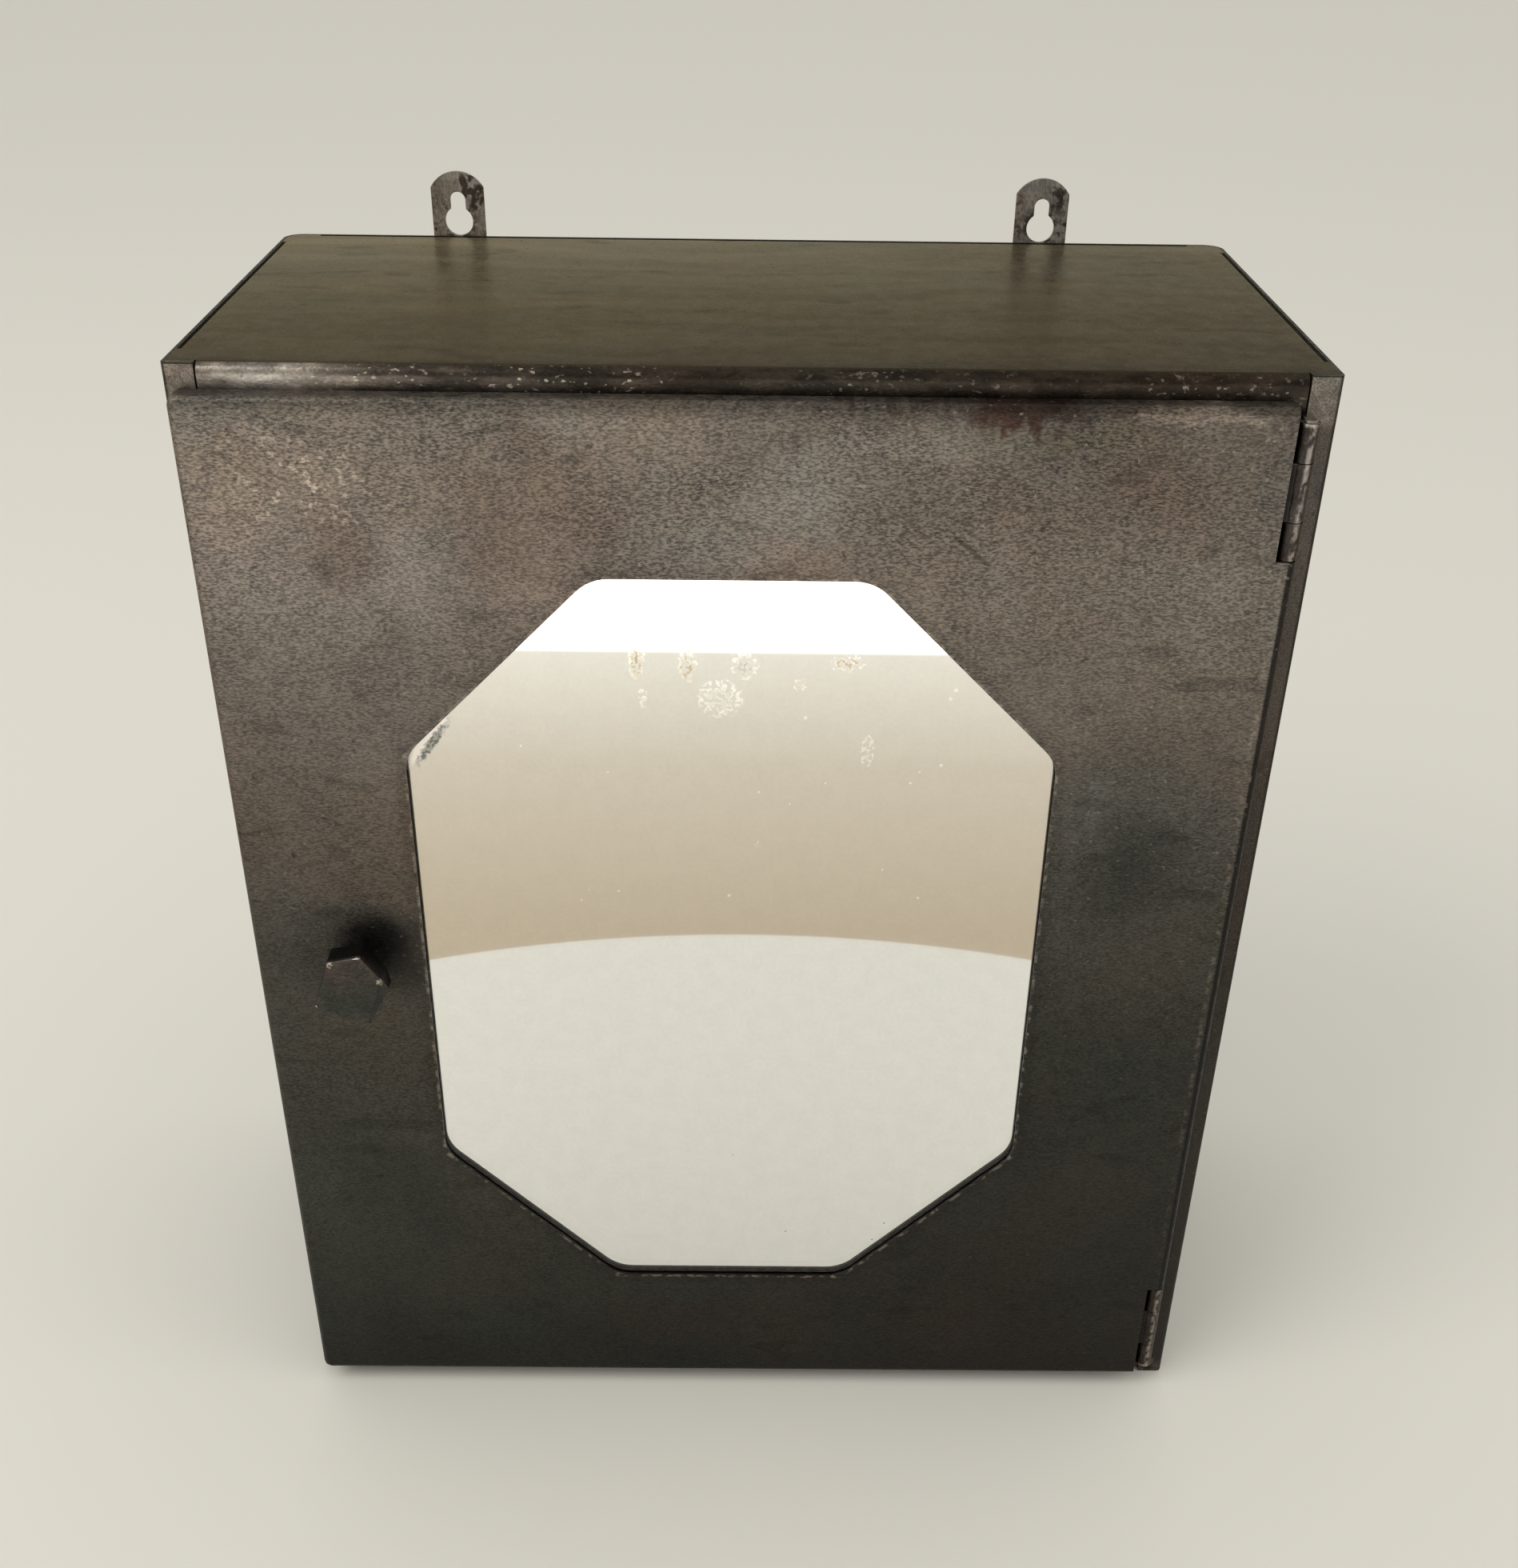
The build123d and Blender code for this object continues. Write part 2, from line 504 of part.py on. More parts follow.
def hanger(x):
    """Keyhole plate on the outside of the back."""
    half = HANGER_WIDTH / 2
    top, bottom = CASE_HEIGHT + HANGER_RISE, CASE_HEIGHT - HANGER_DROP
    plate = Pos(0, (top + bottom) / 2) * Rectangle(HANGER_WIDTH, top - bottom)
    plate = fillet(plate.vertices().group_by(Axis.Y)[0], HANGER_FOOT_R)
    crown = Pos(0, top - HANGER_CROWN_R) * Circle(HANGER_CROWN_R)
    crown += Pos(0, (top - HANGER_CROWN_R + bottom) / 2) * Rectangle(2 * half, top - HANGER_CROWN_R - bottom)
    plate = plate & crown
    plate -= Pos(0, KEYHOLE_Z + KEYHOLE_SLOT_RISE / 2) * Rectangle(KEYHOLE_SLOT_WIDTH, KEYHOLE_SLOT_RISE)
    plate -= Pos(0, KEYHOLE_Z) * Circle(KEYHOLE_R)
    plate -= Pos(0, KEYHOLE_Z + KEYHOLE_SLOT_RISE) * Circle(KEYHOLE_SLOT_WIDTH / 2)
    plane = Plane(origin=(x, BACK_Y, 0), x_dir=(1, 0, 0), z_dir=(0, -1, 0))
    shape = extrude(plane * plate, -HANGER_SHEET)
    for z in rivet_heights():
        shape -= rivet_body(x, z, RIVET_FIT)
    return shape


def rivet_body(x, z, spare):
    """Rivet shank with its sunk outer end, or its hole when spare is a clearance."""
    shank = rod(RIVET_R + spare, x, z, BACK_Y - SHEET, HANGER_REAR_Y)
    sink = Cone(RIVET_R + spare, RIVET_SINK_R + spare, RIVET_SINK_DEPTH, align=(Align.CENTER, Align.CENTER, Align.MAX))
    return shank + Plane(origin=(x, HANGER_REAR_Y, z), z_dir=(0, 1, 0)) * sink


def rivet(x, z):
    """Rivet through the back sheet and a hanger plate: low head inside, flush end outside."""
    inside_y = BACK_Y - SHEET
    head = rod(RIVET_HEAD_R, x, z, inside_y - RIVET_HEAD_HEIGHT, inside_y)
    head = chamfer(head.faces().sort_by(Axis.Y)[0].edges(), RIVET_HEAD_HEIGHT / 2)
    return rivet_body(x, z, 0) + head


def hanger_rivets():
    """All rivets of both hanger plates."""
    places = [(x, z) for x in (HANGER_LEFT_X, HANGER_RIGHT_X) for z in rivet_heights()]
    return Compound(children=[rivet(x, z) for x, z in places])


def main():
    """Write every node."""
    os.makedirs("parts", exist_ok=True)
    save(case_wrap(), "case_wrap")
    save(top_panel(), "top_panel")
    save(bottom_panel(), "bottom_panel")
    save(hanger(HANGER_LEFT_X), "hanger_left")
    save(hanger(HANGER_RIGHT_X), "hanger_right")
    save(hanger_rivets(), "hanger_rivets")
    for level, name in ((1, "lower"), (2, "upper")):
        top_z = level * SHELF_SPACING
        save(shelf(top_z), f"shelf_{name}")
        save(shelf_rail(top_z, -1), f"shelf_rail_{name}_left")
        save(shelf_rail(top_z, 1), f"shelf_rail_{name}_right")
    for name, low_z in hinge_spans().items():
        save(case_leaf(low_z), f"hinge_{name}_case_leaf")
        save(door_leaf(low_z), f"hinge_{name}_door_leaf")
        save(hinge_pin(low_z), f"hinge_{name}_pin")
    save(door_pan(), "door_pan")
    save(pack_sheet(DOOR_INSIDE_Y, GLASS_THICKNESS), "mirror_glass")
    save(pack_sheet(DOOR_INSIDE_Y + GLASS_THICKNESS, BACKING_THICKNESS), "mirror_backing")
    save(mirror_clips(), "mirror_clips")
    save(knob_head(), "knob_head")
    save(knob_spindle(), "knob_spindle")
    save(spindle_sleeve(), "spindle_sleeve")
    save(latch_tongue(), "latch_tongue")
    save(latch_washer(), "latch_washer")
    save(latch_nut(), "latch_nut")


main()
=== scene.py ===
"""Looks of the medicine cabinet: blackened steel with wear, and an old octagonal mirror.

Metres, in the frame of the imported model. The front is -Y, the top is +Z.
"""

import math
import random

import bmesh
import bpy
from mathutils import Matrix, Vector, noise

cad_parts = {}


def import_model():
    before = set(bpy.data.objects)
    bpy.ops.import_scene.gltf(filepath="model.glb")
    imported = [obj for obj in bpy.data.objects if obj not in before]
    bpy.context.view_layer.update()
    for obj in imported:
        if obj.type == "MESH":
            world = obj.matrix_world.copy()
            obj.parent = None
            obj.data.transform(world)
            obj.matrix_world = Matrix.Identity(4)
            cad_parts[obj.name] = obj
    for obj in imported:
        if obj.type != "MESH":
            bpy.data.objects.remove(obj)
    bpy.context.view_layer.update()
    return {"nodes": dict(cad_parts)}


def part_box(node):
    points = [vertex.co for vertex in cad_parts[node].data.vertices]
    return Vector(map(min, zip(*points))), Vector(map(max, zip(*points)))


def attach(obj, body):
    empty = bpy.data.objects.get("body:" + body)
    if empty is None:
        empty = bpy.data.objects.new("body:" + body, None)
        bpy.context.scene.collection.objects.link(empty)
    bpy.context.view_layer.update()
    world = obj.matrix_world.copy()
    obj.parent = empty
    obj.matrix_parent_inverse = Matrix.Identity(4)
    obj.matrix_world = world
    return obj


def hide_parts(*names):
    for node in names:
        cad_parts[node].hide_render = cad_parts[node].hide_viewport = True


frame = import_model()

MM = 0.001

# Camera, fitted to the corners of the case in the photograph
IMAGE_SIZE = (1898, 1960)
CAMERA_PLACE = (-0.00108, -0.62772, 0.58518)
CAMERA_TILT = (58.0013, -0.6895, -0.0765)
FOCAL_PIXELS = 2229.4
CENTRE_ROW = 1100
SENSOR = 36.0

# Stage
FLOOR_REACH = 12.0
FLOOR_TONE = (221, 217, 205)
WALL_TONE = (205, 199, 187)
NEAR_TILE_TONE = (188, 172, 148)
MID_TILE_TONE = (203, 192, 173)
FAR_TILE_TONE = (232, 226, 212)
TABLE_CENTRE = (0.0, 0.15)
TABLE_RADIUS = 0.585
SUNLIT_Y = -0.83
SUNLIT_STRENGTH = 1.15

WORLD_STRENGTH = 0.82
KEY_PLACE = (-1.5, -1.1, 2.1)
KEY_SIZE = 1.6
KEY_POWER = 22.0
FILL_PLACE = (1.6, -0.6, 1.5)
FILL_SIZE = 1.4
FILL_POWER = 3.0

# What the looks take from the solids
DOOR_LOW, DOOR_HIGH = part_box("door_pan")
CASE_LOW, CASE_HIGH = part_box("case_wrap")
GLASS_LOW, GLASS_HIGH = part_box("mirror_glass")
TOP_LOW, TOP_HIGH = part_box("top_panel")
KNOB_LOW, KNOB_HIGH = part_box("knob_head")
HINGE_LOW, HINGE_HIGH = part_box("hinge_upper_pin")
GLASS_OVERLAP = 12 * MM
OPENING_CUT = 64.5 * MM
OPENING_X = (GLASS_LOW.x + GLASS_HIGH.x) / 2
OPENING_Z = (GLASS_LOW.z + GLASS_HIGH.z) / 2
OPENING_HALF_WIDTH = GLASS_HIGH.x - OPENING_X - GLASS_OVERLAP
OPENING_HALF_HEIGHT = GLASS_HIGH.z - OPENING_Z - GLASS_OVERLAP
HINGE_X = (HINGE_LOW.x + HINGE_HIGH.x) / 2
MID_Z = CASE_HIGH.z / 2
SPINDLE_LOW, SPINDLE_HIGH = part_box("knob_spindle")
KNOB_X = (SPINDLE_LOW.x + SPINDLE_HIGH.x) / 2
KNOB_Z = (SPINDLE_LOW.z + SPINDLE_HIGH.z) / 2
KNOB_FLAT_ANGLE = math.radians(-19)
KNOB_FLAT_DISTANCE = 9.0 * MM
KNOB_NECK = 8.6 * MM
KEYHOLE_RISE = 5.4 * MM

# Forged surface of the knob
EASED_EDGE = 0.45 * MM
DENT_DEPTH = 0.22 * MM
DENT_SCALES = (160, 420)
FACE_REACHES = (3.0, 1.5, 1.0)
SAME_PLANE = 0.1 * MM

# Silver layer inside the back of the glass
SILVER_FRONT = 0.12 * MM
SILVER_BACK = 0.04 * MM
SILVER_INSET = 0.3 * MM
SILVER_CORNER = 3 * MM

# Heights of the rubbed grey corners at the top and the foot of the side flanges
TOP_CORNER = (17 * MM, 12 * MM)
FOOT_CORNER = (9 * MM, 6 * MM)

# Steel tones
# Near black, used for painted shade: gaps, dark bends and the knob's dark reflection on the door
SHADE_BLACK = (14, 12, 10)
RAW_EDGE = (30, 23, 18)
RUST = (54, 33, 25)
WORN = (176, 166, 152)
STEEL = (116, 112, 105)
BLUE_STEEL = (96, 95, 90)
PALE = (132, 121, 110)
BROWN = (94, 81, 71)
OLIVE = (84, 78, 60)
DIM = (62, 61, 55)
GREEN_BLACK = (43, 46, 42)
RED_BLACK = (46, 37, 33)
GREY_CORNER = (104, 96, 87)
BARE_CORNER = (150, 141, 130)
CUT_EDGE = (22, 17, 13)
EARTH = (82, 66, 54)
BLUE_BLACK = (56, 62, 60)
MARK = (44, 37, 30)
FAINT_RUST = (56, 42, 34)
SCRATCH = (52, 44, 37)
RUBBED_RIM = (150, 138, 124)
# Rubbed wear on the barrels, and a painted highlight down their fronts
BARREL_RUB_AND_HIGHLIGHT = (160, 151, 142)
RUBBED_KNOB = (196, 188, 176)
# Painted shade on the sides of the knob
KNOB_SIDE_SHADE = (16, 14, 12)
PIT = (38, 30, 24)
PLATE_RUST = (96, 62, 46)

# Tones of the old silver
WHITE_DOT = (250, 247, 238)
DARK_DOT = (92, 86, 74)
MILKY = (238, 232, 226)
FLAKED = (84, 88, 80)


def tone(rgb):
    """A colour as seen on screen, 0 to 255, as linear values for a shader."""
    parts = [c / 255 for c in rgb]
    return tuple(c / 12.92 if c <= 0.04045 else ((c + 0.055) / 1.055) ** 2.4 for c in parts)


class Paint:
    """One node material, built with short calls. Places are in the frame, in metres."""

    def __init__(self, name, metallic=0.0, roughness=0.5):
        self.material = bpy.data.materials.new(name)
        self.material.use_nodes = True
        self.tree = self.material.node_tree
        self.shader = self.tree.nodes["Principled BSDF"]
        self.shader.inputs["Metallic"].default_value = metallic
        self.shader.inputs["Roughness"].default_value = roughness
        self.place = self.add("ShaderNodeTexCoord").outputs["Object"]
        self.x, self.y, self.z = self.add("ShaderNodeSeparateXYZ", self.place).outputs

    def add(self, kind, *values, **settings):
        """A node with its settings, and its inputs fed in order. None leaves an input alone."""
        node = self.tree.nodes.new(kind)
        for key, value in settings.items():
            setattr(node, key, value)
        for socket, value in zip(node.inputs, values):
            self.feed(socket, value)
        return node

    def feed(self, socket, value):
        """Link or set one input."""
        if value is None:
            return
        if isinstance(value, bpy.types.NodeSocket):
            self.tree.links.new(value, socket)
        elif socket.type == "RGBA" and len(value) == 3:
            socket.default_value = (*value, 1.0)
        else:
            socket.default_value = value

    def math(self, operation, *values):
        """One sum on numbers or sockets."""
        return self.add("ShaderNodeMath", *values, operation=operation).outputs[0]

    def times(self, *values):
        """The product of all values."""
        total = values[0]
        for value in values[1:]:
            total = self.math("MULTIPLY", total, value)
        return total

    def most(self, *values):
        """The greatest of all values."""
        total = values[0]
        for value in values[1:]:
            total = self.math("MAXIMUM", total, value)
        return total

    def vector(self, operation, *values):
        """One sum on vectors. A length or a distance comes back as a number."""
        node = self.add("ShaderNodeVectorMath", *values, operation=operation)
        return node.outputs["Value" if operation in ("LENGTH", "DISTANCE") else "Vector"]

    def ramp(self, value, low, high, to_low=0.0, to_high=1.0):
        """value taken smoothly from low..high to to_low..to_high."""
        node = self.add("ShaderNodeMapRange", interpolation_type="SMOOTHSTEP")
        for socket, number in zip(node.inputs, (value, low, high, to_low, to_high)):
            self.feed(socket, number)
        return node.outputs[0]

    def mix(self, factor, low, high, blend="MIX"):
        """A colour between low and high."""
        node = self.add("ShaderNodeMix", data_type="RGBA", blend_type=blend)
        for socket, value in ((node.inputs[0], factor), (node.inputs[6], low), (node.inputs[7], high)):
            self.feed(socket, value)
        return node.outputs[2]

    def stain(self, colour, rgb, mask, strength=1.0):
        """colour, with a screen tone laid over it where mask is 1."""
        return self.mix(self.times(mask, strength), colour, tone(rgb))

    def shade(self, colour, factor):
        """colour made lighter or darker by a factor."""
        node = self.add("ShaderNodeVectorMath", colour, operation="SCALE")
        self.feed(node.inputs["Scale"], factor)
        return node.outputs["Vector"]

    def cloud(self, scale, detail=2.0, stretch=(1, 1, 1), place=None, low=0.32, high=0.68):
        """Noise spread over 0 to 1, with about scale features to a metre."""
        spot = self.vector("MULTIPLY", place or self.place, stretch)
        node = self.add("ShaderNodeTexNoise", spot, None, scale, detail)
        return self.ramp(node.outputs["Fac"], low, high)

    def warp(self, scale, reach, place=None):
        """The place, pushed about by noise."""
        place = place or self.place
        node = self.add("ShaderNodeTexNoise", place, None, scale, 2.0)
        push = self.vector("SUBTRACT", node.outputs["Color"], (0.5, 0.5, 0.5))
        push = self.vector("MULTIPLY", push, (4 * reach,) * 3)
        return self.vector("ADD", place, push)

    def patch(self, place, centre, radii, inner=0.0):
        """1 in a soft ellipse round centre, 0 outside it, in millimetres. A radius of None has no end."""
        share = tuple(0.0 if r is None else 1 / (r * MM) for r in radii)
        away = self.vector("SUBTRACT", place, tuple(c * MM for c in centre))
        away = self.vector("LENGTH", self.vector("MULTIPLY", away, share))
        return self.ramp(away, 1.0, inner)

    def stops(self, value, colours):
        """A colour along value, from (millimetres, screen tone) pairs in rising order."""
        low, high = colours[0][0], colours[-1][0]
        spread = self.add("ShaderNodeMapRange", value, low * MM, high * MM).outputs[0]
        node = self.add("ShaderNodeValToRGB", spread)
        ramp = node.color_ramp
        while len(ramp.elements) < len(colours):
            ramp.elements.new(0.5)
        for element, (place, rgb) in zip(ramp.elements, colours):
            element.position = (place - low) / (high - low)
            element.color = (*tone(rgb), 1.0)
        return node.outputs["Color"]

    def finish(self, colour, roughness=None, height=None, depth=0.0):
        """Set colour, roughness and bump."""
        self.feed(self.shader.inputs["Base Color"], colour)
        self.feed(self.shader.inputs["Roughness"], roughness)
        if height is not None:
            node = self.add("ShaderNodeBump")
            self.feed(node.inputs["Distance"], depth)
            self.feed(node.inputs["Height"], height)
            self.feed(self.shader.inputs["Normal"], node.outputs["Normal"])
        return self


def dress(paint, *nodes):
    """Give CAD nodes or pieces one material."""
    for node in nodes:
        piece = frame["nodes"][node] if isinstance(node, str) else node
        piece.data.materials.clear()
        piece.data.materials.append(paint.material)


def aged(paint, colour, brush, wear=0.5, contrast=1.0, shine=0.4, depth=0.03 * MM):
    """Hand-blackened steel over any colour. wear and contrast are numbers or sockets."""
    strokes = paint.cloud(1800, 2.0, brush)
    flecks = paint.cloud(1000, 1.0)
    mottle = paint.cloud(180, 3.0)
    clouds = paint.cloud(26, 3.0)
    shares = ((strokes, 0.7), (flecks, 0.2), (mottle, 0.18), (clouds, 0.22))
    detail = -0.5 * sum(share for part, share in shares)
    for part, share in shares:
        detail = paint.math("MULTIPLY_ADD", part, share, detail)
    colour = paint.shade(colour, paint.math("MULTIPLY_ADD", detail, contrast, 1.0))
    warm = paint.cloud(14, 3.0, place=paint.warp(30, 8 * MM))
    cool_side = paint.mix(1.0, colour, (0.95, 1.0, 1.04), "MULTIPLY")
    warm_side = paint.mix(1.0, colour, (1.05, 0.985, 0.94), "MULTIPLY")
    colour = paint.mix(warm, cool_side, warm_side)
    scratches = paint.cloud(1900, 1.0, tuple(0.05 * b for b in brush), low=0.64, high=0.72)
    colour = paint.shade(colour, paint.ramp(scratches, 0.0, 1.0, 1.0, 0.76))
    pits = paint.cloud(420, 2.0, low=0.66, high=0.74)
    colour = paint.stain(colour, RAW_EDGE, pits, 0.45)
    specks = paint.cloud(520, 1.5, low=0.67, high=0.72)
    colour = paint.stain(colour, WORN, paint.times(specks, wear))
    gloss = paint.math("MULTIPLY_ADD", mottle, 0.12, shine - 0.06)
    gloss = paint.math("MULTIPLY_ADD", flecks, 0.10, gloss)
    height = paint.math("ADD", strokes, paint.times(flecks, 0.7))
    height = paint.math("MULTIPLY_ADD", mottle, 1.6, height)
    return paint.finish(colour, gloss, height, depth)


ALONG_X = (0.4, 1.0, 1.0)
ALONG_Y = (1.0, 0.28, 1.0)
ALONG_Z = (1.0, 1.0, 0.28)


def outside_opening(paint):
    """How far a place on the door lies outside the octagon, in metres."""
    across = paint.math("ABSOLUTE", paint.math("SUBTRACT", paint.x, OPENING_X))
    up = paint.math("ABSOLUTE", paint.math("SUBTRACT", paint.z, OPENING_Z))
    slant = OPENING_HALF_WIDTH + OPENING_HALF_HEIGHT - OPENING_CUT
    corner = paint.math("SUBTRACT", paint.math("ADD", across, up), slant)
    corner = paint.times(corner, math.sqrt(0.5))
    sides = paint.math("SUBTRACT", across, OPENING_HALF_WIDTH)
    ends = paint.math("SUBTRACT", up, OPENING_HALF_HEIGHT)
    return paint.most(sides, ends, corner)


# Height and tone down the left and the right of the door: partly patina, and partly a painted reflection of
# the sunlit floor that lightens the upper door
DOOR_LEFT_TONES = (
    (10, (35, 35, 30)), (110, (56, 57, 50)), (215, (70, 66, 59)),
    (290, (96, 88, 80)), (360, (120, 110, 101)), (415, (110, 103, 94)),
)
DOOR_RIGHT_TONES = (
    (10, (34, 32, 27)), (180, (50, 50, 44)), (250, (68, 66, 60)),
    (320, (98, 92, 84)), (365, (108, 101, 92)), (415, (86, 79, 71)),
)
# Centre and radii in X and Z, then tone and strength
DOOR_PATCHES = (
    (5, 394, 80, 24, STEEL, 0.6),
    (40, 406, 56, 12, STEEL, 0.6),
    (76, 378, 20, 12, STEEL, 0.5),
    (-78, 384, 32, 38, BROWN, 0.75),
    (-50, 384, 26, 26, BROWN, 0.5),
    (-84, 348, 26, 22, BROWN, 0.4),
    (-126, 376, 18, 26, BROWN, 0.6),
    (-70, 410, 14, 14, BROWN, 0.5),
    (-166, 372, 18, 50, PALE, 0.65),
    (-20, 368, 70, 8, BROWN, 0.6),
    (-132, 400, 34, 12, PALE, 0.35),
    (-150, 411, 28, 8, PALE, 0.5),
    (128, 398, 42, 17, BROWN, 0.5),
    (92, 409, 46, 6, OLIVE, 0.6),
    (46, 386, 34, 20, BLUE_STEEL, 0.6),
    (150, 350, 26, 40, STEEL, 0.35),
    (132, 262, 30, 30, GREEN_BLACK, 0.8),
    (118, 278, 9, 18, BLUE_STEEL, 0.4),
    (148, 232, 20, 24, DIM, 0.5),
    (142, 150, 26, 60, GREEN_BLACK, 0.6),
    (-146, 232, 32, 26, DIM, 0.75),
    (-154, 206, 20, 20, GREEN_BLACK, 0.4),
    (-150, 120, 30, 30, GREEN_BLACK, 0.4),
    (-128, 96, 22, 40, GREEN_BLACK, 0.65),
    (-20, 34, 60, 24, RED_BLACK, 0.7),
    (-100, 40, 50, 22, GREEN_BLACK, 0.6),
    (90, 40, 45, 26, RED_BLACK, 0.6),
)
# Small dark marks: centre, radii and strength
DOOR_MARKS = (
    (-135.1, 367.6, 6.0, 8.0, 0.42),
    (-134.5, 366.0, 3.2, 4.0, 0.35),
    (143.6, 376.7, 4.6, 5.0, 0.5),
    (110.5, 313.7, 2.4, 2.6, 0.45),
    (-116.0, 346.0, 9.0, 14.0, 0.22),
    (158.0, 352.0, 3.0, 4.0, 0.35),
)


def door_clouds(paint, flat):
    """Tones down both sides of the door, with patches and small marks."""
    loose = paint.warp(95, 2.4 * MM, paint.warp(17, 11 * MM, flat))
    ragged = paint.warp(420, 1.6 * MM, flat)
    drift = paint.add("ShaderNodeSeparateXYZ", loose).outputs
    left = paint.stops(drift[2], DOOR_LEFT_TONES)
    right = paint.stops(drift[2], DOOR_RIGHT_TONES)
    colour = paint.mix(paint.ramp(drift[0], -95 * MM, 105 * MM), left, right)
    for x, z, wide, tall, rgb, strength in DOOR_PATCHES:
        colour = paint.stain(colour, rgb, paint.patch(loose, (x, 0, z), (wide, None, tall)), strength)
    for x, z, wide, tall, strength in DOOR_MARKS:
        colour = paint.stain(colour, MARK, paint.patch(ragged, (x, 0, z), (wide, None, tall)), strength)
    return colour


def door_stains(paint, flat, colour):
    """The rust stain, the scratch, and the painted dark reflection of the knob round it."""
    drips = paint.warp(300, 2.6 * MM, paint.vector("MULTIPLY", flat, (1.0, 0.0, 0.45)))
    stain = paint.patch(drips, (82, 0, 190.0), (27, None, 5.0), 0.35)
    trace = paint.patch(drips, (46, 0, 191.6), (30, None, 2.2), 0.5)
    colour = paint.stain(colour, RUST, stain, 0.9)
    colour = paint.stain(colour, FAINT_RUST, trace, 0.55)
    scratch = paint.patch(paint.warp(160, 0.5 * MM, flat), (69.2, 0, 376.2), (11, None, 9), 0.6)
    slope = paint.math("ADD", paint.times(paint.x, 0.63), paint.times(paint.z, 0.777))
    off_slope = paint.math("ABSOLUTE", paint.math("SUBTRACT", slope, 335.9 * MM))
    line = paint.ramp(off_slope, 1.1 * MM, 0.3 * MM)
    colour = paint.stain(colour, SCRATCH, paint.times(scratch, line), 0.6)
    knob_reflection_place = paint.warp(70, 1.5 * MM, flat)
    # Painted dark reflection of the knob on the glossy door round it
    colour = paint.stain(colour, SHADE_BLACK, paint.patch(knob_reflection_place, (-131, 0, 226), (21, None, 19), 0.2), 0.94)
    return paint.stain(colour, SHADE_BLACK, paint.patch(knob_reflection_place, (-123, 0, 213), (13, None, 14), 0.2), 0.6)


def door_edges(paint, flat, colour):
    """Painted shade along the top, the rubbed and cut edge of the opening, a painted highlight inside the
    right edge, and painted shade at the right edge.
    """
    # Painted shade along the top of the door, under the flange
    rim = paint.math("SUBTRACT", paint.z, DOOR_HIGH.z - 5.5 * MM)
    colour = paint.shade(colour, paint.ramp(rim, -1.0 * MM, 3.0 * MM, 1.0, 0.66))
    rubbed_rim = paint.patch(paint.warp(120, 2 * MM, flat), (136, 0, 420), (32, None, 4), 0.3)
    colour = paint.stain(colour, PALE, rubbed_rim, 0.5)

    gap = outside_opening(paint)
    near = paint.ramp(gap, 7 * MM, 0.5 * MM)
    colour = paint.shade(colour, paint.ramp(near, 0.0, 1.0, 1.0, 0.80))
    chips = paint.cloud(260, 3.0, low=0.45, high=0.62)
    rubbed = paint.times(paint.ramp(gap, 1.3 * MM, 0.4 * MM), chips)
    colour = paint.stain(colour, RUBBED_RIM, rubbed, 0.5)
    thickness = paint.ramp(paint.y, DOOR_LOW.y + 0.15 * MM, DOOR_LOW.y + 0.4 * MM)
    cut = paint.times(paint.ramp(gap, 0.6 * MM, 0.2 * MM), thickness)
    colour = paint.stain(colour, RAW_EDGE, cut)

    inward = paint.math("SUBTRACT", DOOR_HIGH.x, paint.x)
    # Painted highlight just inside the right edge, where it starts to bend, broken by chips
    off_line = paint.math("ABSOLUTE", paint.math("SUBTRACT", inward, 4.2 * MM))
    bend_highlight = paint.ramp(off_line, 1.2 * MM, 0.3 * MM)
    upward = paint.ramp(paint.z, 60 * MM, 330 * MM, 0.2, 1.0)
    colour = paint.stain(colour, PALE, paint.times(bend_highlight, chips, upward), 0.5)
    # Painted shade in the gap along the door's right edge
    return paint.stain(colour, SHADE_BLACK, paint.ramp(inward, 3.1 * MM, 2.3 * MM), 0.92)


def door_paint():
    """Grey-brown above and darker below, partly patina and partly a painted reflection that lightens the
    upper door, with clouds, a rust stain and a painted dark reflection of the knob.
    """
    paint = Paint("door_patina", metallic=0.7)
    flat = paint.vector("MULTIPLY", paint.place, (1.0, 0.0, 1.0))
    colour = door_clouds(paint, flat)
    colour = door_stains(paint, flat, colour)
    colour = door_edges(paint, flat, colour)
    speckled = paint.patch(flat, (-143, 0, 396), (38, None, 26), 0.2)
    specks = paint.cloud(430, 1.5, low=0.59, high=0.64)
    colour = paint.stain(colour, WORN, paint.times(specks, speckled), 0.5)
    wear = paint.ramp(paint.z, 120 * MM, 380 * MM, 0.03, 0.22)
    contrast = paint.ramp(paint.z, 290 * MM, 410 * MM, 0.9, 1.3)
    return aged(paint, colour, ALONG_X, wear, contrast, shine=0.40)


# Tint of the shallow reflections in the oiled top
TOP_SHEEN = (0.52, 0.50, 0.43)
# Place and tone from the front of the top to its back, where the paler back is a painted reflection of the
# wall, and along its front flange
PLATE_TONES_AND_REFLECTION = ((-84, (66, 60, 47)), (-60, (78, 71, 55)), (0, (94, 87, 69)), (86, (124, 117, 97)))
FLANGE_TONES = (
    (-170, (134, 126, 117)), (-136, (144, 136, 126)), (-116, (84, 77, 70)),
    (-60, (54, 48, 42)), (60, (46, 40, 34)), (170, (50, 43, 37)),
)


def top_plate(paint):
    """Olive plate with long streaks; painted paler to the back as a reflection of the wall, and to the left
    as light from that side.
    """
    plate = paint.stops(paint.y, PLATE_TONES_AND_REFLECTION)
    loose = paint.warp(12, 20 * MM, paint.vector("MULTIPLY", paint.place, (0.35, 1.0, 0.0)))
    streaks = paint.cloud(60, 4.0, (0.25, 1.0, 0.0), loose)
    plate = paint.shade(plate, paint.ramp(streaks, 0.0, 1.0, 0.86, 1.12))
    # Painted light: the plate is made lighter towards the left
    return paint.shade(plate, paint.ramp(paint.x, -170 * MM, 150 * MM, 1.26, 0.86))


